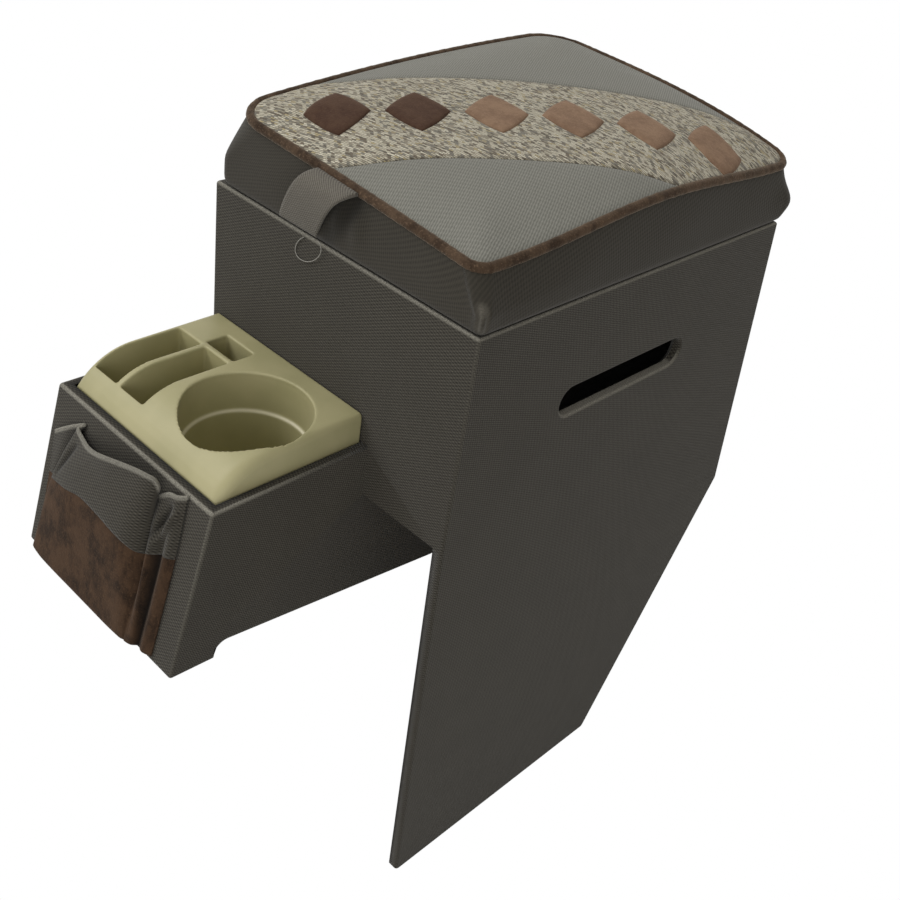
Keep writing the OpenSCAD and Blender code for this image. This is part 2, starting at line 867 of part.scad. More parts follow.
left_board();
left_cover();
right_board();
right_cover();
inner_board();
inner_cover();
front_board();
front_cover();
back_board();
back_cover();
storage_floor();
storage_lining();
nose_front_board();
nose_front_cover();
floor_batten_left();
floor_batten_inner();
tray_ledge_front();
tray_ledge_back();
cup_tray();
pocket_band();
pocket_panel();
pocket_gusset_left();
pocket_gusset_right();
box_hinge_leaves();
hinge_pins();
box_hinge_screws();
lid_board();
lid_lining();
lid_foam();
lid_boxing();
lid_piping();
front_twill();
tweed_band();
back_twill();
dark_lozenges();
tan_lozenges();
pull_tab();
lid_hinge_leaves();
lid_hinge_screws();
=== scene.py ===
# %% [markdown]
# # A car's centre armrest
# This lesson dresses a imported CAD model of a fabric-covered plywood armrest. The model gives the
# places and the moving lid. Each step below adds what the solids lack: rounded cloth edges, a padded
# top, a moulded tray, a gathered pocket, and materials with a weave or a pile.

import math

import bmesh
import bpy
import numpy as np
from mathutils import Matrix, Vector
from mathutils.bvhtree import BVHTree


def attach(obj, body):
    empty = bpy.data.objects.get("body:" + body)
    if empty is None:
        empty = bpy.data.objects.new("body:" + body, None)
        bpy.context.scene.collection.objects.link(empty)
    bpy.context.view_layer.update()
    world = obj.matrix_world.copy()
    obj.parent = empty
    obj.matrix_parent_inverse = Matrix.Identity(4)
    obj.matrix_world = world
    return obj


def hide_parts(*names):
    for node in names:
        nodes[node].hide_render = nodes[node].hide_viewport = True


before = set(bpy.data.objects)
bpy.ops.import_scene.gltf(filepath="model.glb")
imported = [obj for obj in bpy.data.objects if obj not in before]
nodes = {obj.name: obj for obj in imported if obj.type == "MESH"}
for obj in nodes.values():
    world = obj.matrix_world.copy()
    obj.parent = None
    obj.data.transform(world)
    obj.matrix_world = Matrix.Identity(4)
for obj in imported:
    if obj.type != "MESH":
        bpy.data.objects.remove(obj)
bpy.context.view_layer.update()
scene = bpy.context.scene

# %% [markdown]
# ## The camera
# The photograph was taken from in front, from the right and from above, with the camera tilted a
# little. Its three directions are written out as the columns of a matrix, because a tilt is easier
# to give that way than as angles. The lens is about 46 mm on a 36 mm sensor.

# %% Camera
def placed(name, data):
    """Puts a camera, a lamp or a mesh into the scene under that name."""
    made = bpy.data.objects.new(name, data)
    scene.collection.objects.link(made)
    return made


cam_right = Vector((0.70404, 0.69664, 0.13792))
cam_down = Vector((0.48596, -0.33098, -0.80889))
cam_ahead = Vector((-0.51786, 0.63651, -0.57156))
lens = bpy.data.cameras.new("camera")
lens.lens = 45.6
lens.sensor_width = 36
lens.clip_start = 0.02
camera = placed("camera", lens)
turn = Matrix((cam_right, -cam_down, -cam_ahead)).transposed().to_4x4()
camera.matrix_world = Matrix.Translation((0.45766, -0.52844, 0.79623)) @ turn
scene.camera = camera
print("camera at", [round(v, 3) for v in camera.location])

# %% [markdown]
# ## Writing shaders as sums
# A weave is a sum of waves, and it reads best when it is written as one. This class holds one output
# of a shader node and lets Python's operators add the Math nodes. Vectors go through Vector Math,
# so that nothing is turned into a single number by accident.

# %% Wires between nodes
class Wire:
    """One output of a shader node, which can be used in sums like a number."""

    def __init__(self, finish, socket):
        self.finish, self.socket = finish, socket

    def calc(self, operation, *values):
        """Adds a Math node, or a Vector Math node where one of the values is a vector."""
        vector = any(isinstance(v, Wire) and v.socket.type == "VECTOR" for v in values)
        if vector:
            values = [(v, v, v) if isinstance(v, (int, float)) else v for v in values]
        kind = "ShaderNodeVectorMath" if vector else "ShaderNodeMath"
        return self.finish.node(kind, {"operation": operation}, dict(enumerate(values)))

    def __add__(self, other):
        return self.calc("ADD", self, other)

    def __radd__(self, other):
        return self.calc("ADD", other, self)

    def __sub__(self, other):
        return self.calc("SUBTRACT", self, other)

    def __rsub__(self, other):
        return self.calc("SUBTRACT", other, self)

    def __mul__(self, other):
        return self.calc("MULTIPLY", self, other)

    def __rmul__(self, other):
        return self.calc("MULTIPLY", other, self)

    def __truediv__(self, other):
        return self.calc("DIVIDE", self, other)

    def __rtruediv__(self, other):
        return self.calc("DIVIDE", other, self)

    def sine(self):
        return self.calc("SINE", self)

    def floor(self):
        return self.calc("FLOOR", self)

    def dot(self, along):
        """How far a point lies along a direction."""
        return self.finish.node(
            "ShaderNodeVectorMath", {"operation": "DOT_PRODUCT"}, {0: self, 1: along}, "Value")

    def between(self, low, high):
        """0 at low, 1 at high, and smooth in between."""
        return self.finish.node(
            "ShaderNodeMapRange", {"interpolation_type": "SMOOTHSTEP"},
            {"Value": self, "From Min": low, "From Max": high})


print("a wire can be used with +, -, * and /")

# %% [markdown]
# One method makes every other node. It sets what must be set first, such as a ramp's stops, and then
# fills the sockets with values or wires. A material is then a short recipe: where the pattern lies,
# what it looks like, and how it stands up. Some recipes also read marks that later steps leave on a
# mesh's points, such as how worn the cloth is there.

# %% Finishes
def shade(red, green, blue):
    """A colour as seen on a screen, 0 to 255, as the linear light that a shader works in."""
    line = [v / 255 / 12.92 if v < 11 else ((v / 255 + 0.055) / 1.055) ** 2.4 for v in (red, green, blue)]
    return (*line, 1.0)


class Finish:
    """A material and the nodes that make it."""

    def __init__(self, name):
        self.material = bpy.data.materials.new(name)
        self.material.use_nodes = True
        self.tree = self.material.node_tree
        self.surface = self.tree.nodes["Principled BSDF"]

    def fill(self, socket, value):
        """Gives a socket a wire or a plain value."""
        if isinstance(value, Wire):
            self.tree.links.new(value.socket, socket)
        else:
            socket.default_value = value

    def node(self, kind, settings=None, sockets=None, out=0):
        """Makes any node: its settings come first, then its sockets, by name or number."""
        made = self.tree.nodes.new(kind)
        for name, value in (settings or {}).items():
            if name == "stops":
                ramp = made.color_ramp
                while len(ramp.elements) < len(value):
                    ramp.elements.new(0.5)
                for stop, (place, colour) in zip(ramp.elements, value):
                    stop.position, stop.color = place, colour
            elif name == "ramp_interpolation":
                made.color_ramp.interpolation = value
            else:
                setattr(made, name, value)
        for name, value in (sockets or {}).items():
            self.fill(made.inputs[name], value)
        return Wire(self, made.outputs[out])

    def mix(self, share, first, second):
        """From the first colour to the second as share goes from 0 to 1."""
        return self.node(
            "ShaderNodeMix", {"data_type": "RGBA"}, {0: share, 6: first, 7: second}, 2)

    def noise(self, where, scale, detail=2.0, roughness=0.5):
        return self.node(
            "ShaderNodeTexNoise", {"noise_dimensions": "3D"},
            {"Vector": where, "Scale": scale, "Detail": detail, "Roughness": roughness})

    def place(self):
        """The point on the object, in metres."""
        return self.node("ShaderNodeTexCoord", out="Object")

    def cloth(self):
        """The point on the cloth's own map, in millimetres."""
        return self.node("ShaderNodeUVMap", {"uv_map": "cloth"}) * 1000

    def marked(self, name):
        """The mark of that name on the mesh's points, from 0 to 1."""
        return self.node("ShaderNodeAttribute", {"attribute_name": name}, out="Fac")

    def finish(self, colour, height, relief, strength, **values):
        """Sets the colour, the height that gives the relief, and other sockets by their names."""
        bump = self.node("ShaderNodeBump", sockets={
            "Height": height, "Distance": relief, "Strength": strength})
        wanted = {"Base Color": colour, "Normal": bump, **values}
        for name, value in wanted.items():
            self.fill(self.surface.inputs[name.replace("_", " ")], value)
        return self.material


print("shader helpers ready")

# %% [markdown]
# ## Woven cloth
# The covers are a woven cloth of thick threads. Close up, its crossings stand in a lattice of small
# bumps, and two families of fine ribs cross where they line up. Two sine waves give exactly that:
# their sum peaks at the crossings. A slow noise bends the threads, and the colour goes from dark pits
# to light crowns with the same height that the relief uses. Two marks on the mesh finish it: "edge"
# bares pale worn threads on the folds and paints a highlight there, and "fold" paints shade into the
# valleys that little light reaches.

# %% Weave recipe
def ridges(finish, where, pitch, runs):
    """A wave with that pitch in millimetres, whose ridges run at that angle on the cloth."""
    turn = math.radians(runs + 90)
    step = 2 * math.pi / pitch
    return where.dot((math.cos(turn) * step, math.sin(turn) * step, 0)).sine()


def painted_fold_shade(finish):
    """The painted shade in folds, gaps and valleys, where little light comes."""
    return finish.marked("fold") * 0.95


def woven(name, families, pit, ground, crown, worn_and_lit, relief, uneven=0.5, crowned=0.8):
    """Cloth with two families of ribs, each (pitch, angle, weight), and its four colours."""
    f = Finish(name)
    where = f.cloth()
    bend = f.noise(where, 0.45, 2.0) - 0.5
    thread = where + bend * 0.9
    one, two = [ridges(f, thread, pitch, angle) * weight for pitch, angle, weight in families]
    height = (one + two) * 0.25 + 0.5
    fibre = f.noise(where, 1.6, 3.0, 0.7)
    lit = height * (0.7 + 0.6 * fibre)
    colour = f.mix(lit.between(0.08, 0.5), pit, ground)
    colour = f.mix(lit.between(0.62, 1.05) * crowned, colour, crown)
    patch = f.noise(where, 0.02, 3.0).between(0.35, 0.7)
    colour = f.mix(patch * uneven * 0.25, colour, pit)
    # The "edge" mark: pale worn threads and a painted highlight.
    wear_and_highlight = f.marked("edge") * fibre.between(0.25, 0.65)
    colour = f.mix(wear_and_highlight * 0.85, colour, worn_and_lit)
    # Painted shade: the "fold" mark turns the cloth near black in valleys and gaps.
    colour = f.mix(painted_fold_shade(f), colour, shade(16, 15, 13))
    return f.finish(colour, height + fibre * 0.35, relief, 0.7, Roughness=0.92, Sheen_Weight=0.12,
                    Sheen_Roughness=0.5, Specular_IOR_Level=0.2)


charcoal = woven(
    "charcoal_weave", ((1.95, 27, 1.0), (1.9, 157, 1.0)),
    shade(37, 34, 29), shade(63, 60, 53), shade(90, 87, 78), shade(164, 161, 150), 0.00045, crowned=0.9)
boxing_weave = woven(
    "charcoal_boxing", ((1.7, 104, 1.0), (2.3, 18, 0.8)),
    shade(44, 41, 36), shade(58, 55, 48), shade(76, 72, 64), shade(128, 124, 114), 0.0002, 0.6, 0.5)
twill = woven(
    "grey_twill", ((1.55, 121, 1.5), (3.6, 33, 0.4)),
    shade(108, 108, 101), shade(131, 131, 124), shade(160, 159, 150), shade(150, 150, 142), 0.0002, 0.3, 0.5)
webbing = woven(
    "grey_webbing", ((1.5, 45, 1.0), (1.5, 135, 0.8)),
    shade(64, 60, 54), shade(108, 104, 96), shade(150, 145, 134), shade(150, 146, 138), 0.0004, 0.9, 0.8)
print("cloths", charcoal.name, boxing_weave.name, twill.name, webbing.name)

# %% [markdown]
# ## Tweed
# The diagonal band is a tweed of short cream, grey and brown dashes. Each dash is one cell of a
# slanted brick pattern, and a random number per cell picks its colour from a ramp. Fine noise
# blends the cells as spun fibres would.

# %% Tweed
DASH_LEN, DASH_HIGH, DASH_SHIFT = 2.8, 1.25, 0.37


def tweed_finish():
    f = Finish("cream_tweed")
    where = f.cloth()
    thread = where + (f.noise(where, 0.5, 2.0) - 0.5) * 1.6
    turn = math.radians(14)
    along = thread.dot((math.cos(turn), math.sin(turn), 0))
    across = thread.dot((-math.sin(turn), math.cos(turn), 0))
    row = (across / DASH_HIGH).floor()
    cell = (along / DASH_LEN + row * DASH_SHIFT).floor()
    number = f.node("ShaderNodeCombineXYZ", sockets={0: cell, 1: row, 2: 0.0})
    pick = f.node("ShaderNodeTexWhiteNoise", {"noise_dimensions": "2D"}, {"Vector": number})
    dash = f.node("ShaderNodeValToRGB", {"ramp_interpolation": "CONSTANT", "stops": [
        (0.0, shade(206, 200, 180)), (0.34, shade(158, 151, 134)), (0.52, shade(126, 124, 116)),
        (0.66, shade(226, 221, 202)), (0.80, shade(104, 92, 78)), (0.89, shade(186, 172, 132)),
        (0.95, shade(80, 72, 62))]}, {"Fac": pick})
    fibre = f.noise(where, 1.8, 3.0, 0.7)
    ridge = (across * (math.pi / DASH_HIGH)).sine()
    height = ridge * ridge
    colour = f.mix(fibre.between(0.3, 0.75) * 0.4, dash, shade(170, 163, 146))
    colour = f.mix(height.between(0.0, 0.4), shade(104, 99, 88), colour)
    return f.finish(colour, height + fibre * 0.6, 0.0005, 0.7, Roughness=0.93, Sheen_Weight=0.1,
                    Specular_IOR_Level=0.2)


tweed = tweed_finish()
print("cloth", tweed.name)

# %% [markdown]
# ## Velvet
# Velvet is dark where its pile points at the eye and light where it leans away. Sheen gives the light
# rim, and a soft noise stretched over the surface gives the brushed patches. The pile itself is too
# fine to model, so a very fine noise stands it up. Two shades set the ground, and the third is the
# brushed pile, which also shows where a mesh is marked as an edge.

# %% Velvet
def velvet(name, deep, middle, brushed, sheen, tint=(0.8, 0.62, 0.5, 1.0)):
    f = Finish(name)
    where = f.place()
    patch = f.noise(where, 60.0, 4.0, 0.65)
    streak = f.noise(where * (1.0, 1.0, 0.3), 260.0, 3.0, 0.6)
    brushed_patch = patch * 0.65 + streak * 0.35
    pile = f.noise(where, 900.0, 2.0, 0.6)
    colour = f.mix(brushed_patch.between(0.36, 0.62), deep, middle)
    colour = f.mix(pile.between(0.5, 0.85) * 0.6, colour, brushed)
    # The "edge" mark, worn pile and a painted highlight, brings out the brushed shade.
    colour = f.mix(f.marked("edge") * 0.6, colour, brushed)
    # Painted shade: the "fold" mark turns the velvet near black in valleys.
    colour = f.mix(painted_fold_shade(f), colour, shade(14, 11, 9))
    return f.finish(colour, pile + patch * 0.5, 0.0006, 0.55, Roughness=0.95, Sheen_Weight=sheen,
                    Sheen_Roughness=0.35, Sheen_Tint=tint, Specular_IOR_Level=0.15)


pocket_velvet = velvet("pocket_velvet", shade(38, 28, 21), shade(72, 54, 40), shade(100, 77, 57), 0.15)
tan_velvet = velvet("tan_velvet", shade(122, 98, 80), shade(142, 117, 96), shade(164, 138, 116), 0.3)
dark_velvet = velvet("dark_velvet", shade(66, 47, 38), shade(80, 60, 48), shade(98, 76, 62), 0.2)
piping_velvet = velvet("piping_velvet", shade(52, 40, 31), shade(84, 68, 54), shade(136, 113, 92), 0.4,
                       (0.9, 0.8, 0.66, 1.0))
print("velvets ready")

# %% [markdown]
# ## Hard finishes
# The tray is a satin moulding: an even colour, a very fine grain and a soft gloss, with a painted
# highlight on the rim where the cup's ledge is marked. The plywood, felt, foam and zinc are seen only
# from below or with the lid up, but each still gets its own grain.

# %% Plastic, wood, felt, foam and zinc
def plastic_finish():
    f = Finish("beige_plastic")
    where = f.place()
    cloud = f.noise(where, 25.0, 3.0)
    grain = f.noise(where, 1400.0, 1.0)
    colour = f.mix(cloud.between(0.35, 0.7), shade(167, 162, 122), shade(177, 171, 131))
    # Painted highlight where the cup's ledge is marked.
    colour = f.mix(f.marked("edge") * 0.7, colour, shade(236, 230, 204))
    return f.finish(colour, grain, 0.00008, 0.35, Roughness=0.4 + 0.12 * cloud, Specular_IOR_Level=0.35)


def wood_finish():
    f = Finish("birch_plywood")
    where = f.place()
    figure = f.noise(where * (6.0, 60.0, 60.0), 3.0, 4.0, 0.6)
    pores = f.noise(where * (30.0, 400.0, 400.0), 4.0, 2.0)
    colour = f.mix(figure.between(0.35, 0.7), shade(196, 162, 118), shade(222, 192, 150))
    colour = f.mix(pores.between(0.6, 0.8) * 0.5, colour, shade(150, 118, 80))
    return f.finish(colour, pores, 0.0001, 0.4, Roughness=0.7)


def soft_finish(name, low, high, scale, detail, grain, dim, relief, **values):
    """Felt or foam, whose one fine noise picks between two shades and stands up as well."""
    f = Finish(name)
    fibre = f.noise(f.place(), scale, detail, grain)
    return f.finish(f.mix(fibre.between(dim, 0.7), low, high), fibre, relief, 0.6, **values)


def zinc_finish():
    f = Finish("zinc_plate")
    cloud = f.noise(f.place(), 300.0, 3.0)
    colour = f.mix(cloud.between(0.3, 0.7), shade(176, 176, 178), shade(206, 206, 206))
    return f.finish(colour, cloud, 0.00005, 0.3, Roughness=0.3 + 0.15 * cloud, Metallic=1.0)


def thread_finish():
    f = Finish("sewing_thread")
    fibre = f.noise(f.place(), 1500.0, 2.0)
    colour = f.mix(fibre, shade(120, 118, 112), shade(160, 158, 150))
    return f.finish(colour, fibre, 0.0001, 0.4, Roughness=0.7)


felt = soft_finish("dark_felt", shade(38, 38, 36), shade(66, 65, 62), 700.0, 4.0, 0.7, 0.3, 0.0006,
                   Roughness=0.97, Sheen_Weight=0.2)
foam = soft_finish("cream_foam", shade(214, 200, 158), shade(236, 226, 190), 800.0, 3.0, 0.6, 0.35, 0.0005,
                   Roughness=0.95)
plastic, birch, zinc, sewing = plastic_finish(), wood_finish(), zinc_finish(), thread_finish()
for node, material in {
        **dict.fromkeys(("left_board", "right_board", "inner_board", "front_board", "back_board",
                         "storage_floor", "nose_front_board", "floor_batten_left", "floor_batten_inner",
                         "tray_ledge_front", "tray_ledge_back", "lid_board"), birch),
        **dict.fromkeys(("storage_lining", "lid_lining"), felt),
        **dict.fromkeys(("box_hinge_leaves", "hinge_pins", "box_hinge_screws", "lid_hinge_leaves",
                         "lid_hinge_screws"), zinc)}.items():
    nodes[node].data.materials.clear()
    nodes[node].data.materials.append(material)
print("hard finishes on the CAD nodes")

# %% [markdown]
# ## Small mesh tools
# Every size below is in millimetres, counted from the box's front left corner on the floor, as the
# part's drawing does. One function moves such a point into the model's frame, and one reads it back.
# The others turn points into a piece. A solid is a run of rings, one after another, with flat ends.

# %% Making meshes
MM = 0.001
BOX_W, MID_Y = 240, 104


def at(x, y, z):
    """A point of the drawing, in the model's frame."""
    return Vector(((x - BOX_W / 2) * MM, (y - MID_Y) * MM, z * MM))


def on_drawing(point):
    """A point of the model's frame, on the drawing."""
    return point.x / MM + BOX_W / 2, point.y / MM + MID_Y, point.z / MM


def shade_faces(made, smooth=True):
    made.data.polygons.foreach_set("use_smooth", [smooth] * len(made.data.polygons))


def piece(name, points, faces, smooth=True):
    """A mesh of points on the drawing, with all its faces turned outwards."""
    mesh = bpy.data.meshes.new(name)
    mesh.from_pydata([at(*p) for p in points], [], faces)
    mesh.validate()
    made = placed(name, mesh)
    work = bmesh.new()
    work.from_mesh(mesh)
    bmesh.ops.recalc_face_normals(work, faces=work.faces)
    work.to_mesh(mesh)
    work.free()
    shade_faces(made, smooth)
    return made


def ring_faces(count, n, closed=False):
    """The faces between rings of n points, one ring after another."""
    return [(a * n + i, a * n + (i + 1) % n, (a + 1) % count * n + (i + 1) % n, (a + 1) % count * n + i)
            for a in range(count if closed else count - 1) for i in range(n)]


def ring_ends(count, n):
    """The flat faces that close the first ring and the last."""
    return [tuple(range(n))[::-1], tuple((count - 1) * n + i for i in range(n))]


def prism(name, outline, axis, low, high):
    """A solid with that outline, from low to high along an axis. X takes (y, z) and Z takes (x, y)."""
    points = [(depth, *p) if axis == "X" else (*p, depth) for depth in (low, high) for p in outline]
    n = len(outline)
    return piece(name, points, ring_ends(2, n) + ring_faces(2, n), smooth=False)


print("the drawing's corner lies at", [round(v, 3) for v in at(0, 0, 0)])

# %% [markdown]
# Solids are joined and cut with modifiers, which are settled into the mesh at once, so that the next
# step works on what is there. Outlines with round corners come from arcs.

# %% Shaping solids
def modify(made, kind, **settings):
    """Adds a modifier with its settings."""
    step = made.modifiers.new(kind.lower(), kind)
    for name, value in settings.items():
        setattr(step, name, value)


def settle(made):
    """Makes the modifiers' result the piece's own mesh."""
    graph = bpy.context.evaluated_depsgraph_get()
    mesh = bpy.data.meshes.new_from_object(made.evaluated_get(graph))
    made.modifiers.clear()
    made.data = mesh
    return made


def combine(made, tools, operation, keep=False):
    """Joins the tools to a solid, or cuts them from it, and removes them unless they are kept."""
    for tool in tools:
        modify(made, "BOOLEAN", operation=operation, object=tool, solver="EXACT")
        settle(made)
        if not keep:
            bpy.data.objects.remove(tool)
    return made


def arc(centre, radius, start, stop, steps):
    """Points on an arc, from one angle to another in degrees."""
    turns = [math.radians(start + (stop - start) * i / steps) for i in range(steps + 1)]
    return [(centre[0] + radius * math.cos(a), centre[1] + radius * math.sin(a)) for a in turns]


def rounded_corner(a, b, c, radius, steps=6):
    """The points of a rounded corner at b, between a and c."""
    a, b, c = (Vector(p) for p in (a, b, c))
    u, v = (a - b).normalized(), (c - b).normalized()
    half = u.angle(v) / 2
    hub = b + (u + v).normalized() * radius / math.sin(half)
    p, q = b + u * radius / math.tan(half) - hub, b + v * radius / math.tan(half) - hub
    start = math.degrees(math.atan2(p.y, p.x))
    swing = (math.degrees(math.atan2(q.y, q.x)) - start + 540) % 360 - 180
    return arc(hub, radius, start, start + swing, steps)


print("a quarter arc", [tuple(round(v, 2) for v in p) for p in arc((0, 0), 1, 0, 90, 2)])

# %% [markdown]
# ## The covered box
# The real box is seven plywood panels, each wrapped in cloth. Their covers meet flush, so one skin
# stands for all of them here: the panels are joined as solids and only the outward edges are
# rounded, because cloth pulled over plywood rounds an edge by two or three millimetres and no more.
# Recesses on the inner sides leave the plywood in view where the real panels show it bare.

# %% Panels of the box
RIM_Z, SEAT_Z, CHANNEL_Z, NOSE_Z = 493, 246, 338, 378
BACK_LEAN, NOSE_LEAN = 40 / 247, 29 / 116
WALL, NOSE_W = 7, 166
NOSE_IN, RIGHT_IN = NOSE_W - WALL, BOX_W - WALL
TRAY_FRONT = -111.3


def back_y(z, depth=0.0):
    """Where the leaning back face lies at a height, or a plane that deep inside it."""
    return 316 + (RIM_Z - z) * BACK_LEAN - depth * math.hypot(1, BACK_LEAN)


def nose_y(z, depth=0.0):
    """The same for the slope under the nose."""
    return -119 - (NOSE_Z - z) * NOSE_LEAN + depth * math.hypot(1, NOSE_LEAN)


SEAT_BACK, TOE = (356, SEAT_Z), (80, SEAT_Z)
toe_notch = [(-148, 262), (-115, 260), *rounded_corner((-115, 260), (-114, 272), TOE, 9), TOE]
nose_top = [(0, NOSE_Z), (-119, NOSE_Z)]
behind_seat = [(back_y(SEAT_Z, WALL), SEAT_Z), (back_y(CHANNEL_Z, WALL), CHANNEL_Z), (0, CHANNEL_Z)]
left_side = [*toe_notch, SEAT_BACK, (316, RIM_Z), (0, RIM_Z), *nose_top]
inner_side = [*toe_notch, *behind_seat, *nose_top]
leg_foot = [*rounded_corner((0, CHANNEL_Z), (12, 0), (250, 0), 4),
            *rounded_corner((12, 0), (250, 0), SEAT_BACK, 4), SEAT_BACK]
right_side = [*leg_foot, (316, RIM_Z), (0, RIM_Z), (0, CHANNEL_Z)]
leg_inside = [*leg_foot, *behind_seat]
SLOT_Y, SLOT_Z, SLOT_R, SLOT_HALF = 159, 416, 10.8, 55.8
slot_hole = [*arc((SLOT_Y + SLOT_HALF, SLOT_Z), SLOT_R, -90, 90, 10),
             *arc((SLOT_Y - SLOT_HALF, SLOT_Z), SLOT_R, 90, 270, 10)]


def leaning(face, z0, z1):
    """The section of a panel along a leaning face."""
    return [(face(z0, WALL), z0), (face(z0), z0), (face(z1), z1), (face(z1, WALL), z1)]


skin = prism("console_cover", left_side, "X", 0, WALL)
right_panel = combine(prism("right", right_side, "X", RIGHT_IN, BOX_W),
                      [prism("slot", slot_hole, "X", RIGHT_IN - 5, BOX_W + 5)], "DIFFERENCE")
combine(skin, [
    right_panel,
    prism("leg", leg_inside, "X", RIGHT_IN - 1, RIGHT_IN + 1),
    prism("inner", inner_side, "X", NOSE_IN, NOSE_W),
    prism("front", [(0, CHANNEL_Z), (WALL, CHANNEL_Z), (WALL, RIM_Z), (0, RIM_Z)], "X", WALL, RIGHT_IN),
    prism("back", leaning(back_y, SEAT_Z, RIM_Z), "X", WALL, RIGHT_IN),
    prism("nose", leaning(nose_y, 262, NOSE_Z), "X", WALL, NOSE_IN)], "UNION")
print("joined skin", len(skin.data.polygons), "faces")

# %% [markdown]
# The outward edges get a weight, found from the angle between their faces, and the bevel follows
# that weight. Where the panels meet inwards the edges stay sharp, as two pressed cloths do. Two marks
# go to the finish. One names the points on a fold, kept only where the fold faces up, and the slot's
# lower lip: their pale colour is partly worn threads and partly a painted highlight where light
# catches them. The other paints shade into the thin dark gap along the tray.

# %% Rounded folds
INNER_FOLD = 0.4


def faces_inwards(face):
    """Says whether a face lies on the inner side of a panel, where the plywood is flush with it."""
    (x, y, _), n = on_drawing(face.calc_center_median()), face.normal
    if abs(n.x) > 0.9:
        return min(abs(x - inside) for inside in (WALL, NOSE_IN, RIGHT_IN)) < 0.2
    return (n.y > 0.9 and (y < -80 or 5 < y < 9)) or (n.y < -0.9 and y > 250)


def weigh_edges(made, least=25.0):
    """Marks the outward edges that turn by more than that many degrees."""
    work = bmesh.new()
    work.from_mesh(made.data)
    bmesh.ops.remove_doubles(work, verts=work.verts, dist=0.02 * MM)
    bmesh.ops.dissolve_limit(work, angle_limit=math.radians(1), verts=work.verts, edges=work.edges)
    weight = work.edges.layers.float.new("bevel_weight_edge")
    marked = 0
    for edge in work.edges:
        turned = math.degrees(edge.calc_face_angle_signed(0)) if len(edge.link_faces) == 2 else 0
        on_step = all(abs(v.co.x - at(RIGHT_IN - 1, 0, 0).x) < 0.1 * MM for v in edge.verts)
        if turned > least and not on_step:
            edge[weight] = INNER_FOLD if any(faces_inwards(face) for face in edge.link_faces) else 1.0
            marked += 1
    work.to_mesh(made.data)
    work.free()
    return marked


def round_edges(made, width, steps=4):
    """Rounds the weighted edges. The new faces get a second material, which tells them apart."""
    made.data.materials.append(charcoal)
    made.data.materials.append(charcoal)
    modify(made, "BEVEL", width=width * MM, segments=steps, limit_method="WEIGHT",
           use_clamp_overlap=False, material=1)
    settle(made)


print("weighted edges", weigh_edges(skin))
round_edges(skin, 2.2)

# %% Marks on the folds
def mark(made, name, values):
    """Leaves a mark of that name on the points, for the finish to read."""
    made.data.attributes.new(name, "FLOAT", "POINT").data.foreach_set("value", values)


def mark_wear_highlight_and_shade(made):
    """Marks worn threads and a painted highlight on the rounded points that face up and on the slot's lower
    lip, and painted shade in the gap along the tray.
    """
    mesh = made.data
    folded = np.zeros(len(mesh.polygons), np.int32)
    mesh.polygons.foreach_get("material_index", folded)
    lit = np.ones(len(mesh.vertices), np.float32)
    deep = np.zeros(len(mesh.vertices), np.float32)
    for face, fold in zip(mesh.polygons, folded):
        if not fold:
            lit[list(face.vertices)] = 0
    for v in mesh.vertices:
        x, y, z = on_drawing(v.co)
        # Painted highlight: a fold keeps its pale colour only where it faces up to the light.
        lit[v.index] *= min(1.3 * max(v.normal.z, 0), 1)
        # Painted highlight on the slot's lower lip, which catches the light.
        if RIGHT_IN + 0.5 < x < BOX_W - 1.5 and abs(y - SLOT_Y) < 70 and SLOT_Z - 16 < z < SLOT_Z - 9:
            lit[v.index] = 1
        # Painted shade in the thin gap along the tray.
        beside_tray = min(abs(x - WALL + 0.5), abs(x - NOSE_IN - 0.5), abs(y - TRAY_FRONT + 0.9)) < 0.7
        deep[v.index] = beside_tray and y < -0.5 and NOSE_Z - 1.3 < z < NOSE_Z + 0.05
    mark(made, "edge", lit)
    mark(made, "fold", deep)
    mesh.polygons.foreach_set("material_index", [0] * len(mesh.polygons))
    return int(lit.sum())


print("worn points", mark_wear_highlight_and_shade(skin))
shade_faces(skin)
modify(skin, "WEIGHTED_NORMAL", keep_sharp=True)

# %% [markdown]
# The real cloth is pasted on flat, so each face takes the cloth's map straight from the side that it
# faces. On the left and right sides the weave runs at another angle and looks finer. Dressing a piece
# then says what it is made of, which body it rides on and which parts of the model it stands for.

# %% Map and dress the cover
def map_cloth(made, side_turn, side_scale):
    """Lays the cloth's map on each face from the side that it faces, in metres."""
    mesh = made.data
    layer = mesh.uv_layers.new(name="cloth")
    for face in mesh.polygons:
        size = [abs(v) for v in face.normal]
        sideways = size[0] == max(size)
        pair = (1, 2) if sideways else (0, 2) if size[1] == max(size) else (0, 1)
        turn, scale = (math.radians(side_turn), side_scale) if sideways else (0, 1)
        c, s = math.cos(turn) * scale, math.sin(turn) * scale
        for loop in face.loop_indices:
            v = mesh.vertices[mesh.loops[loop].vertex_index].co
            a, b = v[pair[0]], v[pair[1]]
            layer.data[loop].uv = (c * a - s * b, s * a + c * b)


def dress(made, material, body, slot, *stands_for):
    """Gives a piece its finish, its moving body and the nodes that it stands for. The slot is not used."""
    made.data.materials.clear()
    made.data.materials.append(material)
    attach(made, body)
    if stands_for:
        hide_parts(*stands_for)


map_cloth(skin, 47, 1.35)
dress(skin, charcoal, "console", "charcoal_weave", "left_cover", "right_cover", "inner_cover",
      "front_cover", "back_cover", "nose_front_cover")
print("dressed", skin.name)

# %% [markdown]
# ## The cup tray
# The tray is one thin moulding. It is built the way its mould is: an outer form with rounded
# shoulders, an inner form set in by the wall, and the wells hanging from the deck. A fine remesh
# then melts the parts together, and a little smoothing rounds every rim as a real mould does. The
# ledge inside the cup is marked for a painted highlight, because its thin rim catches the light.

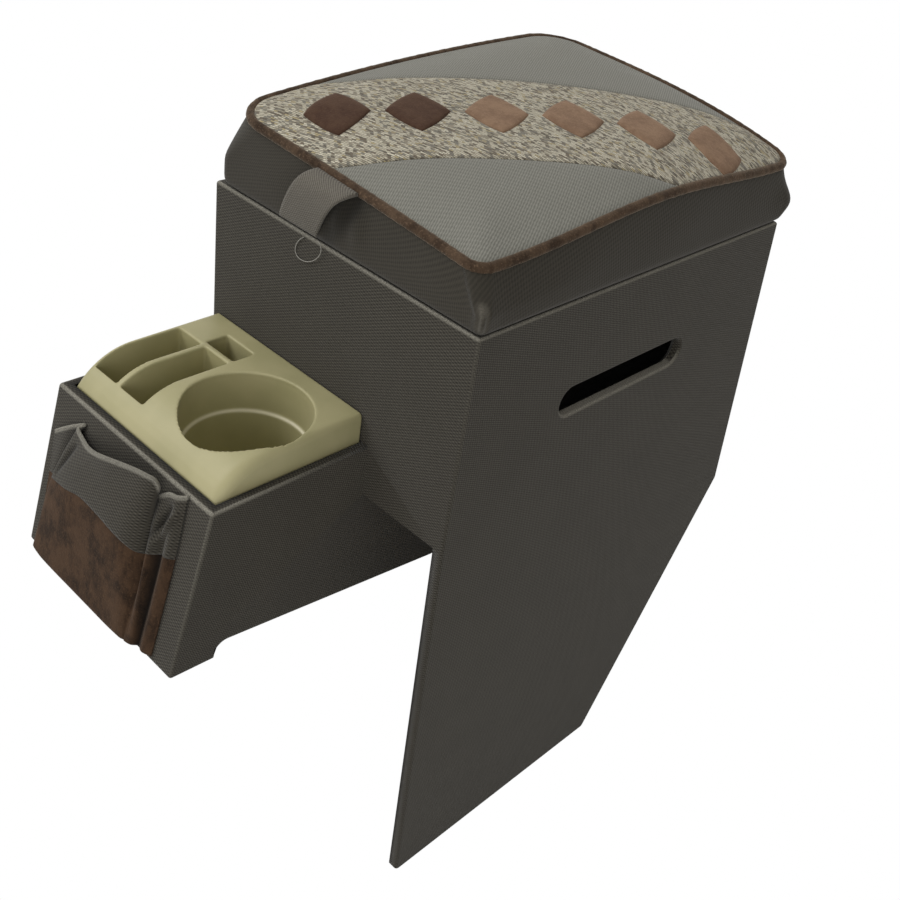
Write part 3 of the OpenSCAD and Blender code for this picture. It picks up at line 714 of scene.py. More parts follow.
# %% Forms of the tray
DECK_Z, TRAY_BACK, TRAY_X0, TRAY_X1, TRAY_FOOT = 399, -0.5, 7.5, 158.5, 371
ROLL_R, ROLL_Y, TRAY_WALL = 50, -70.6, 2.6
CUP_X, CUP_Y, CUP_R, CUP_LEDGE = 114, -56.5, 41.5, 2.1
WELL_Z, SMALL_Z, LEDGE_Z, CUP_Z = 354, 369, 370, 329
SECTIONS = 28


def deck_height(y, inset):
    """The deck's height, which falls away over the rolled front."""
    past = max(ROLL_Y - y, 0)
    return DECK_Z - ROLL_R + math.sqrt(max((ROLL_R - inset) ** 2 - past * past, 1))


def solid_of(name, rings):
    """A solid from its rings, one after another, with flat ends."""
    points, count, n = [p for ring in rings for p in ring], len(rings), len(rings[0])
    return piece(name, points, ring_faces(count, n) + ring_ends(count, n))


def tray_form(name, inset, foot):
    """The tray's outer form, set in by the wall: one section after another from front to back."""
    rows = []
    y0, y1 = TRAY_FRONT + inset, TRAY_BACK - inset
    for k in range(SECTIONS + 1):
        y = y0 + (y1 - y0) * k / SECTIONS
        top = deck_height(y, inset)
        share = k / SECTIONS
        room = top - max(foot, TRAY_FOOT) - 0.8
        right = min(max(9.5 - 6.5 * share - inset, 0.6), room)
        left = min(max(5.0 - 3.0 * share - inset, 0.6), room)
        x0, x1 = TRAY_X0 + inset, TRAY_X1 - inset
        rows.append([(x1, y, foot), *[(x, y, z) for x, z in arc((x1 - right, top - right), right, 0, 90, 8)],
                     *[(x, y, z) for x, z in arc((x0 + left, top - left), left, 90, 180, 6)], (x0, y, foot)])
    return solid_of(name, rows)


def wells(grown, top):
    """The compartments and the cup's two steps, grown by the wall for their outsides."""
    def block(name, x0, x1, y0, y1, floor):
        x0, x1, y0, y1 = x0 - grown, x1 + grown, y0 - grown, y1 + grown
        return prism(name, [(x0, y0), (x1, y0), (x1, y1), (x0, y1)], "Z", floor - grown, top)

    def drum(name, radius, floor):
        circle = arc((CUP_X, CUP_Y), radius + grown, 0, 360 - 360 / 96, 95)
        return prism(name, circle, "Z", floor - grown, top)
    return [block("long", 11.5, 36, -99, -35, WELL_Z), block("middle", 40.5, 65, -99, -35, WELL_Z),
            block("small", 36, 65, -30.5, -14, SMALL_Z), drum("cup", CUP_R, LEDGE_Z),
            drum("cup_foot", CUP_R - CUP_LEDGE, CUP_Z)]


print("deck at the back and at the front", deck_height(TRAY_BACK, 0), round(deck_height(TRAY_FRONT, 0), 1))

# %% Tray
def melt(made, voxel, rounds, kept=1.0):
    """Turns joined solids into one even mesh, rounds its edges and keeps a share of its faces."""
    modify(made, "REMESH", mode="VOXEL", voxel_size=voxel * MM, use_smooth_shade=True)
    modify(made, "SMOOTH", iterations=rounds, factor=0.5)
    if kept < 1:
        modify(made, "DECIMATE", ratio=kept)
    return settle(made)


tray = combine(tray_form("moulded_tray", 0, TRAY_FOOT), [tray_form("hollow", TRAY_WALL, TRAY_FOOT - 2)],
               "DIFFERENCE")
inside = tray_form("inside", 0.4, 300)
hanging = wells(2.1, 395)
for well in hanging:
    combine(well, [inside], "INTERSECT", keep=True)
bpy.data.objects.remove(inside)
combine(tray, hanging, "UNION")
combine(tray, wells(0, 420), "DIFFERENCE")
melt(tray, 0.8, 7, 0.42)
# A painted highlight on the thin rim of the cup's ledge.
ledge = []
for v in tray.data.vertices:
    x, y, z = on_drawing(v.co)
    out = math.hypot(x - CUP_X, y - CUP_Y) - (CUP_R - CUP_LEDGE / 2)
    ledge.append(math.exp(-(out / 1.3) ** 2 - (z - LEDGE_Z) ** 2))
mark(tray, "edge", ledge)
dress(tray, plastic, "console", "tray_plastic", "cup_tray")
print("tray", len(tray.data.polygons), "faces")

# %% [markdown]
# ## Working with cloth
# Every loose cloth below starts as rows of points, each with its own place on the cloth's map, so that
# the weave follows the folds. It gets its thickness afterwards. A cord is a run of rings along a path.
# Where a cloth is worn along a line, the points near that line are marked.

# %% Sheets of cloth
def lay_map(made, laid):
    """Gives each point its own place on the cloth's map, in metres."""
    layer = made.data.uv_layers.new(name="cloth")
    for loop in made.data.loops:
        layer.data[loop.index].uv = laid[loop.vertex_index]


def cloth_piece(name, rows, columns, points, laid):
    """A cloth from its rows of points, which have one more point than there are columns."""
    n = columns + 1
    made = piece(name, points, [(i * n + j, i * n + j + 1, (i + 1) * n + j + 1, (i + 1) * n + j)
                                for i in range(rows) for j in range(columns)])
    lay_map(made, laid)
    return made


def thicken(made, thickness, offset=0):
    """Gives a sheet its thickness, half to each side unless it is offset."""
    modify(made, "SOLIDIFY", thickness=thickness * MM, offset=offset, use_even_offset=False)
    settle(made)
    shade_faces(made)
    return made


def area_of(made):
    """The cloth's own area, in square metres, as half of its two faces."""
    return sum(face.area for face in made.data.polygons) / 2


print("sheets ready")

# %% Cords and worn lines
def tube(name, path, radius, sides, closed=False, wobble=0.0):
    """A round cord along a path, each ring square to it."""
    count = len(path)
    path = [Vector(p) for p in path]
    points = []
    side = Vector((0, 0, 1))
    for k, p in enumerate(path):
        ahead = path[(k + 1) % count] if closed or k < count - 1 else p
        behind = path[k - 1] if closed or k else p
        way = (ahead - behind).normalized()
        side = (side - way * side.dot(way)).normalized()
        other = way.cross(side)
        r = radius * (1 + wobble * math.sin(k * 1.9) * math.sin(k * 0.37))
        points += [tuple(p + (side * math.cos(a) + other * math.sin(a)) * r)
                   for a in (2 * math.pi * i / sides for i in range(sides))]
    ends = [] if closed else ring_ends(count, sides)
    return piece(name, points, ring_faces(count, sides, closed) + ends)


def join(name, parts):
    """Makes one piece of several."""
    work = bmesh.new()
    for part in parts:
        work.from_mesh(part.data)
        bpy.data.objects.remove(part)
    mesh = bpy.data.meshes.new(name)
    work.to_mesh(mesh)
    work.free()
    return placed(name, mesh)


def mark_wear_and_highlight(made, near, reach, core=0.0):
    """Marks the points near a line as worn and given a painted highlight: fully within the core, then fading
    over the reach.
    """
    tree = BVHTree.FromPolygons([at(*p) for p in near], [(k, k + 1, k) for k in range(len(near) - 1)])
    values = []
    for v in made.data.vertices:
        found = tree.find_nearest(v.co)
        past = max(found[3] / MM - core, 0) if found[0] else reach
        values.append(max(0.0, 1 - past / reach))
    mark(made, "edge", values)


print("cords ready")

# %% [markdown]
# ## The nose pocket
# The pocket on the slope is sewn from a woven band over a velvet panel, with a folded gusset at each
# side, so that it opens like bellows. Each line of the cloth, from the left seam over the folds to the
# right seam, is given at the hem, at the seam and at the bottom, as the distance across the slope,
# down the slope and out from it. Smooth curves join them, so that the hem sags and the folds stay.
# Near the corners the loose cloth also creases slantwise: some creases stand up, others sink.

# %% Lines of the pocket
def on_slope(across, down, out):
    """A point by its distance from the box's left side, down the slope and out from it."""
    k = math.hypot(1, NOSE_LEAN)
    return (across, -119 - (NOSE_LEAN * down + out) / k, NOSE_Z + (NOSE_LEAN * out - down) / k)


def curve(points, share):
    """A point on a smooth curve through the given points, evenly shared between them."""
    span = min(int(share * (len(points) - 1)), len(points) - 2)
    t = share * (len(points) - 1) - span
    before, a, b, after = (np.array(points[min(max(span + k, 0), len(points) - 1)], float)
                           for k in (-1, 0, 1, 2))
    return 0.5 * (2 * a + (b - before) * t + (2 * before - 5 * a + 4 * b - after) * t ** 2
                  + (3 * a - before - 3 * b + after) * t ** 3)


pocket_lines = [
    ((8, 31, 0.6), (10, 60, 0.6), (11, 116, 0.6)),
    ((23, 20, 2.6), (16, 59, 1.6), (13, 116, 1.0)),
    ((37, 11, 1.0), (24, 57, 1.2), (17, 116, 1.2)),
    ((34, 15, 3.2), (22, 57, 6.5), (12, 117, 4.0)),
    ((44, 17, 5.5), (32, 54, 10.0), (24, 118, 5.5)),
    ((55, 16, 9.0), (48, 50, 13.0), (42, 118, 6.0)),
    ((67, 13, 12.0), (66, 45, 14.0), (62, 118, 6.0)),
    ((82, 8, 14.0), (88, 45, 14.5), (86, 118, 6.0)),
    ((104, 2, 13.0), (101, 47, 14.0), (104, 118, 6.0)),
    ((116, 0, 11.5), (111, 49, 13.0), (117, 117, 6.4)),
    ((122, 1, 8.5), (118, 52, 9.5), (121, 117, 6.0)),
    ((122, 8, 4.6), (122, 53, 4.6), (123, 117, 5.0)),
    ((115, 19, 1.4), (123, 52, 2.6), (125, 117, 5.4)),
    ((124, 11, 1.8), (128, 49, 7.0), (130, 116, 4.8)),
    ((131, 6, 2.8), (134, 47, 1.0), (133, 116, 0.8)),
    ((138, 4, 3.0), (141, 44, 4.4), (140, 115, 3.4)),
    ((144, 1, 0.6), (146, 43, 0.6), (146, 115, 0.6))]
CREASES = [((142, 12), (129, 44), 3.4, 1.6), ((136, 10), (125, 40), -2.6, 1.8),
           ((41, 22), (27, 52), -2.4, 3.0)]


def crease_at(across, down):
    """How far a slanting crease lifts the cloth, or sinks it, at a place of the slope."""
    lift = 0
    for (a0, d0), (a1, d1), height, width in CREASES:
        t = (down - d0) / (d1 - d0)
        if 0 < t < 1:
            aside = (across - a0 - (a1 - a0) * t) / width
            lift += height * math.sin(math.pi * t) ** 0.5 * math.exp(-aside ** 2)
    return lift


print("pocket lines", len(pocket_lines), "creases", len(CREASES))

# %% [markdown]
# The two cloths are laid on those curves, row by row, and the sag is added in the middle. The valleys
# of the bellows and the sunken creases are marked as folds, for painted shade. The hem is a thin roll of
# the same cloth; its threads are worn pale and given a painted highlight, so it is marked as an edge.

# %% Pocket
def pocket_cloth(name, start, stop, rows, columns, thickness, sag, deep_lines):
    """The cloth between two shares of the way from the hem, 0, over the seam, 0.5, to the bottom, 1."""
    points, laid, folds = [], [], []
    spans = len(pocket_lines) - 1
    for i in range(rows + 1):
        share = start + (stop - start) * i / rows
        line = [curve(keys, share) for keys in pocket_lines]
        for j in range(columns + 1):
            across = j / columns
            p = curve(line, across)
            belly = math.sin(math.pi * min(max((across - 0.25) / 0.4, 0), 1))
            p[2] += sag * belly * math.sin(7 * across + 9 * share) * math.sin(math.pi * share)
            lift = crease_at(p[0], p[1])
            p[2] = max(p[2] + lift, 0.8)
            points.append(on_slope(*p))
            laid.append((p[0] * MM, p[1] * MM))
            # Painted shade in the valleys of the bellows and in the sunken creases.
            valley = max(math.exp(-((across * spans - deep) / 0.7) ** 2) for deep in deep_lines)
            folds.append(max(valley, -0.3 * lift))
    made = cloth_piece(name, rows, columns, points, laid)
    mark(made, "fold", folds)
    return thicken(made, thickness)


band = pocket_cloth("pocket_woven_band", 0.0, 0.5, 30, 160, 1.4, 1.4, (2, 12))
panel = pocket_cloth("pocket_velvet_panel", 0.485, 1.0, 30, 160, 1.2, 1.0, (2, 14))
hem = [on_slope(*curve([keys[0] for keys in pocket_lines], k / 140)) for k in range(141)]
HEM_SIDES = 8
rolled = tube("rolled_hem", hem, 1.15, HEM_SIDES)
lay_map(rolled, [(k // HEM_SIDES * 1.4 * MM, k % HEM_SIDES * 0.9 * MM)
                 for k in range(len(rolled.data.vertices))])
band = join("pocket_woven_band", [band, rolled])
# Worn threads and a painted highlight along the rolled hem.
mark_wear_and_highlight(band, hem, 1.2, 1.2)
dress(band, charcoal, "console", "charcoal_weave", "pocket_band")
dress(panel, pocket_velvet, "console", "velvet_brown", "pocket_panel", "pocket_gusset_left",
      "pocket_gusset_right")
print("pocket cloths", round(area_of(band) * 1e4), "and", round(area_of(panel) * 1e4), "square cm")

# %% [markdown]
# ## The lid's cushion
# The lid is a foam pad, boxed in cloth and tight over its corners. The form below follows the real
# one's uneven height, which falls towards the near corner. It is remeshed and blown up as cloth, with
# the hem and the piping's line held, so that the sides and the top swell between them as stuffed cloth
# does. The covers are then laid on that cushion.

# %% The lid's shape
LID_X0, LID_X1, LID_Y0, LID_Y1 = 7, 239, 1, 315
CROWN, PIPING_IN = 9, 3.4
corner_radii = {"hem": (4, 7, 8, 6), "piping": (13, 18, 34, 32)}
# The cushion's rings up the side, each with its inset and its share of the height.
wall_rings = [(12, 0.02), (1.5, 0.02), (0.6, 0.08), (0.2, 0.22), (0.3, 0.42), (1.0, 0.65), (2.2, 0.85),
              (PIPING_IN, 1.0)]


def piping_height(x, y):
    """Height of the piping above the box's rim: high at the back left, low at the near corner."""
    u, v = (x - LID_X0) / (LID_X1 - LID_X0), (y - LID_Y0) / (LID_Y1 - LID_Y0)
    corners = 48.5 - 14 * u + 17 * v - 9 * u * v
    sides = 5 * (1 - u) * 4 * v * (1 - v) + 10.5 * u * math.sin(math.pi * min(max(v, 0), 1)) ** 2
    ends = ((1 - v) + 7 * v * (0.5 + u)) * 4 * u * (1 - u)
    return corners + sides + ends


def plan_ring(inset, radii, straight=44, turn=10):
    """The lid's outline in plan, from the near right corner on, with evenly shared points."""
    x0, x1, y0, y1 = LID_X0 + inset, LID_X1 - inset, LID_Y0 + inset, LID_Y1 - inset
    places = [(x1, -1, y0, 1), (x1, -1, y1, -1), (x0, 1, y1, -1), (x0, 1, y0, 1)]
    corners = []
    for k, (radius, (x, to_x, y, to_y)) in enumerate(zip(radii, places)):
        r = max(radius - inset, 2.0)
        corners.append(arc((x + to_x * r, y + to_y * r), r, 90 * k - 90, 90 * k, turn))
    ring = []
    for corner, following in zip(corners, corners[1:] + corners[:1]):
        a, b = Vector(corner[-1]), Vector(following[0])
        ring += corner + [tuple(a.lerp(b, j / straight)) for j in range(1, straight)]
    return ring


def crown_at(inset):
    """How far the padded top rises at a distance in from the piping."""
    return CROWN * (1 - math.exp(-inset / 16))


def radii_at(share):
    """The corners' radii at a share of the height. The sides stand upright at first, then lean in."""
    lean = max(share - 0.4, 0) / 0.6
    return tuple(a + (b - a) * lean for a, b in zip(corner_radii["hem"], corner_radii["piping"]))


def cushion_form():
    """The cushion from its turned hem up the side to the piping, and on to the middle of the top."""
    rows = []
    for inset, share in wall_rings:
        ring = plan_ring(inset, radii_at(share))
        rows.append([(x, y, RIM_Z + 0.8 + (piping_height(x, y) - 0.8) * share) for x, y in ring])
    for inset in (7, 12, 20, 32, 48, 68, 92, 108):
        ring = plan_ring(PIPING_IN + inset, radii_at(1))
        rows.append([(x, y, RIM_Z + piping_height(x, y) + crown_at(inset)) for x, y in ring])
    return solid_of("lid_cushion", rows)


cushion = cushion_form()
print("cushion form", len(cushion.data.polygons), "faces")

# %% [markdown]
# The cloth solver would let the cushion swell without end, so each point's path is cut to a few
# millimetres. The hold is soft near the piping and full at the hem.

# %% Inflate the cushion
def refine(made):
    """Splits each face into four and rounds the result."""
    modify(made, "SUBSURF", levels=1, render_levels=1)
    settle(made)


def swell(made, frames=20, most=5.0):
    """Blows the cushion up as cloth, with its hem and the piping's line held."""
    modify(made, "REMESH", mode="VOXEL", voxel_size=5 * MM)
    settle(made)
    start = np.array([v.co for v in made.data.vertices])
    held = made.vertex_groups.new(name="held")
    for v in made.data.vertices:
        x, y, z = on_drawing(v.co)
        level = (z - RIM_Z) / piping_height(x, y)
        side = min(x - LID_X0, LID_X1 - x, y - LID_Y0, LID_Y1 - y)
        near_piping = math.exp(-((level - 1) / 0.09) ** 2) * math.exp(-max(side - 4, 0) / 3)
        held.add([v.index], 1.0 if level < 0.1 else min(1.0, near_piping), "REPLACE")
    cloth = made.modifiers.new("swelling", "CLOTH")
    settings = cloth.settings
    settings.quality, settings.mass = 6, 0.4
    settings.tension_stiffness = settings.compression_stiffness = 30
    settings.shear_stiffness, settings.bending_stiffness = 10, 1.5
    settings.use_pressure, settings.uniform_pressure_force = True, 4
    settings.vertex_group_mass = "held"
    settings.effector_weights.gravity = 0
    cloth.point_cache.frame_start, cloth.point_cache.frame_end = 1, frames
    for number in range(1, frames + 1):
        scene.frame_set(number)
    settle(made)
    scene.frame_set(1)
    moved = np.array([v.co for v in made.data.vertices]) - start
    far = np.linalg.norm(moved, axis=1)
    moved *= (np.minimum(far, most * MM) / np.maximum(far, 1e-9))[:, None]
    made.data.vertices.foreach_set("co", (start + moved).ravel())
    refine(made)
    return float(far.max() / MM), float(far.mean() / MM)


print("swelling, most and mean in mm", [round(v, 2) for v in swell(cushion)])
shade_faces(cushion)
dress(cushion, foam, "lid", "foam", "lid_foam")
cushion_tree = BVHTree.FromObject(cushion, bpy.context.evaluated_depsgraph_get())
print("cushion", len(cushion.data.polygons), "faces")

# %% [markdown]
# ## The padded top
# A grey twill, a diagonal tweed band and a second piece of twill make the top. Each is cut as rows
# that run along the band, from one side of the lid to the other, so that the seams fall exactly on
# rows. A ray sent down from above finds the cushion under every point, and the cloth lies on it, drawn
# in a little at the seams.

# %% Places on the top
BAND_TURN = math.radians(53)
ALONG = Vector((math.cos(BAND_TURN), math.sin(BAND_TURN)))
ACROSS = Vector((-math.sin(BAND_TURN), math.cos(BAND_TURN)))
BAND_LOW, BAND_HIGH = -76, 36
LID_CORNER = Vector((LID_X0, LID_Y0))


def lid_place(along, across):
    """A point of the lid's plan, from places along and across the band."""
    return LID_CORNER + ALONG * along + ACROSS * across


def edge_distance(x, y):
    """How far inside the piping's line a point of the plan lies."""
    px, py = x - (LID_X0 + LID_X1) / 2, y - (LID_Y0 + LID_Y1) / 2
    near_right, far_right, far_left, near_left = radii_at(1)
    r = (far_right if py > 0 else near_right) if px > 0 else (far_left if py > 0 else near_left)
    qx = abs(px) - (LID_X1 - LID_X0) / 2 + r
    qy = abs(py) - (LID_Y1 - LID_Y0) / 2 + r
    return r - PIPING_IN - min(max(qx, qy), 0) - math.hypot(max(qx, 0), max(qy, 0))


def step_between(value, low, high):
    """0 below low, 1 above high, and smooth in between."""
    t = min(max((value - low) / (high - low), 0), 1)
    return t * t * (3 - 2 * t)


def top_height(x, y):
    """Height of the padded top, which meets the piping's line at the edge."""
    inset = max(edge_distance(x, y), 0)
    plain = RIM_Z + piping_height(x, y) + crown_at(inset)
    hit = cushion_tree.ray_cast(at(x, y, 700), Vector((0, 0, -1)))[0]
    found = hit.z / MM if hit else plain
    return plain + (found - plain) * step_between(inset, 2, 14)


outline = [Vector(p) - LID_CORNER for p in plan_ring(PIPING_IN, radii_at(1))]
turned_outline = [(p.dot(ALONG), p.dot(ACROSS)) for p in outline]
print("middle of the top at", round(top_height(123, 158), 1), "mm")

# %% Top covers
def chord(across):
    """The two ends of a row along the band, where it meets the piping's line."""
    ends = []
    for (a0, n0), (a1, n1) in zip(turned_outline, turned_outline[1:] + turned_outline[:1]):
        if (n0 - across) * (n1 - across) < 0:
            ends.append(a0 + (a1 - a0) * (across - n0) / (n1 - n0))
    return min(ends), max(ends)


def top_cover(name, low, high, material, slot, node, thickness, columns=110, gap=2.6):
    """One cover of the top, between two lines along the band."""
    rows = max(int((high - low) / gap), 2)
    points, laid = [], []
    for i in range(rows + 1):
        across = low + (high - low) * i / rows
        a0, a1 = chord(across)
        seam = min(abs(across - BAND_LOW), abs(across - BAND_HIGH))
        for j in range(columns + 1):
            along = a0 + (a1 - a0) * j / columns
            x, y = lid_place(along, across)
            drawn = 0.9 * math.exp(-(seam / 2.5) ** 2) * step_between(edge_distance(x, y), 0, 8)
            points.append((x, y, top_height(x, y) + thickness / 2 - drawn))
            laid.append((x * MM, y * MM))
    made = cloth_piece(name, rows, columns, points, laid)
    flat = area_of(made) * 2
    thicken(made, thickness)
    dress(made, material, "lid", slot, node)
    (high - low) * MM
    flat / ((high - low) * MM)
    return made


lowest, highest = min(n for a, n in turned_outline), max(n for a, n in turned_outline)
near_cover = top_cover("front_twill_cover", lowest + 0.5, BAND_LOW, twill, "twill_grey", "front_twill", 1.2)
band_cover = top_cover("tweed_band_cover", BAND_LOW, BAND_HIGH, tweed, "tweed", "tweed_band", 1.6)
far_cover = top_cover("back_twill_cover", BAND_HIGH, highest - 0.5, twill, "twill_grey", "back_twill", 1.2)
print("top covers", [len(o.data.polygons) for o in (near_cover, band_cover, far_cover)], "faces")

# %% [markdown]
# ## The boxing
# The side cloth goes round the lid in one strip, from the hem turned in below the board up to the
# piping. It follows the cushion's swelling. At the near corner the cloth is gathered into a small soft
# peak, worn along its edge and given a painted highlight there, and at the far right corner the foam
# pushes it out. Beside the pull tab it lies in two soft folds, with a painted shadow of the tab on
# them, because the tab keeps the light from them.

# %% Form of the boxing
STRAIGHT, TURN = 88, 14
PER_SIDE = STRAIGHT + TURN
FOLDS_X, REACH, STRIP_LEN = 127, 25, 1070
# The strip's rows, each with its inset, its share of the height and, near the hem, its fixed rise.
strip_rows = [(16, 0.0, 1.3), (8, 0.0, 1.3), (1.6, 0.0, 1.3), (0.5, 0.0, 1.9), (0.1, 0.02, 3.2)]
strip_rows += [(inset, share, 0.0) for inset, share in (
    (0.0, 0.10), (0.0, 0.2), (0.0, 0.3), (0.1, 0.4), (0.4, 0.5), (0.9, 0.6), (1.5, 0.7), (2.1, 0.8),
    (2.7, 0.88), (3.2, 0.95), (3.5, 1.0))]


def bump(value, middle, width):
    """A smooth rise to 1 at the middle."""
    return math.exp(-((value - middle) / width) ** 2)


def boxing_push(index, share):
    """How far the side cloth stands out from its even form."""
    near = (index + 20) % (4 * PER_SIDE) - 20 - TURN / 2
    far = index - PER_SIDE - TURN / 2
    push = 3.6 * bump(near, 0, 1.6) * bump(share, 0.30, 0.17)
    push += 1.4 * (bump(near, -5, 2.6) + bump(near, 6, 3.0)) * bump(share, 0.45, 0.3)
    push += 6.0 * bump(far, 0, 8) * bump(share, 0.42, 0.26)
    push += 0.5 * math.sin(index * 0.21) * math.sin(math.pi * share) * bump(share, 0.7, 0.4)
    fold = index - (3 * PER_SIDE + TURN + STRAIGHT * (FOLDS_X - LID_X0) / (LID_X1 - LID_X0))
    return push + (2.4 * bump(fold, -3, 2.2) + 2.0 * bump(fold, 3.4, 2.4)) * bump(share, 0.6, 0.3)


def outwards(ring):
    """The direction out of a ring at each of its points."""
    ways = [Vector(ring[(k + 1) % len(ring)]) - Vector(ring[k - 1]) for k in range(len(ring))]
    return [Vector((way.y, -way.x)) for way in (w.normalized() for w in ways)]


def swelling(ring, share):
    """How far the cushion stands out past each point of a row, evened along the row."""
    found = []
    for (x, y), out in zip(ring, outwards(ring)):
        start = at(x + out.x * REACH, y + out.y * REACH, RIM_Z + piping_height(x, y) * share)
        hit = cushion_tree.ray_cast(start, Vector((-out.x, -out.y, 0)))[3]
        found.append(REACH - hit / MM if hit else 0.0)
    even = sum(np.roll(np.array(found), shift) for shift in range(-4, 5)) / 9
    return np.maximum(even, 0)


boxing_points, boxing_map = [], []
for inset, share, rise in strip_rows:
    ring = plan_ring(inset, radii_at(share), STRAIGHT, TURN)
    swollen = swelling(ring, share) + 1.3 if 0.05 < share < 0.97 else np.zeros(len(ring))
    for k, ((x, y), out) in enumerate(zip(ring, outwards(ring))):
        push = swollen[k] + (boxing_push(k, share) if share > 0.05 else 0)
        z = RIM_Z + (rise or piping_height(x, y) * share)
        boxing_points.append((x + out.x * push, y + out.y * push, z))
        boxing_map.append((k * STRIP_LEN / len(ring) * MM, (z - inset) * MM))
print("strip rows", len(strip_rows), "with", len(ring), "points each")

# %% [markdown]
# The rows become one strip, which is split finer before it gets its thickness. The piping is a round
# velvet cord along the seam above it. Its radius wavers a little, as the cord in a sewn seam does.

# %% Boxing and piping
boxing = piece("lid_boxing_cloth", boxing_points, ring_faces(len(strip_rows), len(ring)))
lay_map(boxing, boxing_map)
refine(boxing)
thicken(boxing, 1.2)
# The near corner's peak: worn threads and a painted highlight along its edge.
corner_line = [(LID_X1 - 0.5, LID_Y0 + 0.5, RIM_Z + rise) for rise in (7, 12, 17)]
mark_wear_and_highlight(boxing, corner_line, 4.5)
# A painted shadow of the pull tab on the boxing beside it.
shaded = []
for v in boxing.data.vertices:
    x, y, z = on_drawing(v.co)
    height = (z - RIM_Z) / piping_height(x, 3)
    shaded.append(0.6 * bump(x, 108 + 33 * height, 9) if y < 12 and 0.05 < height < 1 else 0.0)
mark(boxing, "fold", shaded)
dress(boxing, boxing_weave, "lid", "charcoal_weave", "lid_boxing")

piping_line = [(x, y, RIM_Z + piping_height(x, y) + 0.6)
               for x, y in plan_ring(3.0, radii_at(1), STRAIGHT, TURN)]
piping = tube("lid_piping_cord", piping_line, 3.1, 14, closed=True, wobble=0.05)
dress(piping, piping_velvet, "lid", "velvet_brown", "lid_piping")
print("boxing", len(boxing.data.polygons), "piping", len(piping.data.polygons), "faces")

# %% [markdown]
# ## The velvet lozenges
# Two dark and four tan lozenges of velvet are sewn along the band. Each is a square grid turned on
# its corner, laid on the top and rolled down at its edges, where the stitches pull it in.

# %% Lozenges
PATCH_LEN, PATCH_HIGH, PATCH_PITCH, PATCH_START, PATCH_ACROSS = 46, 60, 50, 68, -20


def lozenge(number, cells=22):
    """One lozenge, by its number along the band."""
    points, laid = [], []
    for i in range(cells + 1):
        for j in range(cells + 1):
            u, v = 2 * i / cells - 1, 2 * j / cells - 1
            s, t = u * (1 - 0.10 * v * v), v * (1 - 0.10 * u * u)
            along = PATCH_START + number * PATCH_PITCH + (s + t) * PATCH_LEN / 4
            across = PATCH_ACROSS + (t - s) * PATCH_HIGH / 4
            x, y = lid_place(along, across)
            rim = 1 - max(abs(u), abs(v))
            points.append((x, y, top_height(x, y) + 1.7 + 1.7 * (1 - math.exp(-rim * 9))))
            laid.append((x * MM, y * MM))
    return thicken(cloth_piece(f"lozenge_{number + 1}", cells, cells, points, laid), 1.4, offset=-1)


dark_row = join("dark_velvet_lozenges", [lozenge(k) for k in range(2)])
tan_row = join("tan_velvet_lozenges", [lozenge(k) for k in range(2, 6)])
dress(dark_row, dark_velvet, "lid", "velvet_brown", "dark_lozenges")
dress(tan_row, tan_velvet, "lid", "velvet_tan", "tan_lozenges")
print("lozenges", len(dark_row.data.polygons) + len(tan_row.data.polygons), "faces")

# %% [markdown]
# At the near right corner the cover is drawn in hardest, so its piping lies well inside the hem.
# Every soft piece of the lid is bent by the same rule, which acts only above the lower part of the
# side and fades along the right side.

# %% Draw in the near corner
DRAWN_IN, FADE = 9, 70


def draw_in(made):
    """Moves a piece's points to the left, most at the piping's height near the corner."""
    for v in made.data.vertices:
        x, y, z = on_drawing(v.co)
        lean = min(max((z - RIM_Z) / piping_height(x, y) - 0.4, 0) / 0.6, 1)
        u = min(max((x - LID_X0) / (LID_X1 - LID_X0), 0), 1)
        v.co.x -= DRAWN_IN * MM * lean * u * u * math.exp(-max(y - LID_Y0, 0) / FADE)


for made in (cushion, near_cover, band_cover, far_cover, boxing, piping, dark_row, tan_row):
    draw_in(made)
print("near corner drawn in by", DRAWN_IN, "mm")

# %% [markdown]
# ## The pull tab
# A length of grey webbing comes out from under the piping, arches forward and goes back in under the
# lid, slanting to the left on its way down. It springs out steeply at the top, so its rows of points
# stand closer together there. A loose loop of sewing thread hangs below it.

# %% Tab and thread
TAB_X, TAB_SLANT, TAB_HALF, TAB_OUT = 115.5, 33, 18, 12.5
TAB_ROWS, TAB_COLUMNS, TAB_WIDE, TAB_LONG = 40, 16, 36, 62


def tab_point(row, column):
    """A point of the webbing: rows run from the piping down to the hem, columns to the right."""
    share, side = (row / TAB_ROWS) ** 1.8, 2 * column / TAB_COLUMNS - 1
    x = TAB_X - TAB_SLANT * share + side * TAB_HALF * (1 - 0.04 * math.sin(math.pi * share))
    arch = max(math.sin(math.pi * share ** 0.44), 0) ** 0.76
    y = 2.2 - TAB_OUT * arch + 0.5 * side * math.sin(math.pi * share)
    return x, y, RIM_Z + 1.6 + (piping_height(x, 3) - 1.5) * (1 - share ** 1.06)


grid = [(i, j) for i in range(TAB_ROWS + 1) for j in range(TAB_COLUMNS + 1)]
tab = cloth_piece("webbing_tab", TAB_ROWS, TAB_COLUMNS, [tab_point(i, j) for i, j in grid],
                  [(j * TAB_WIDE / TAB_COLUMNS * MM, i * TAB_LONG / TAB_ROWS * MM) for i, j in grid])
thicken(tab, 1.8)
dress(tab, webbing, "lid", "webbing", "pull_tab")

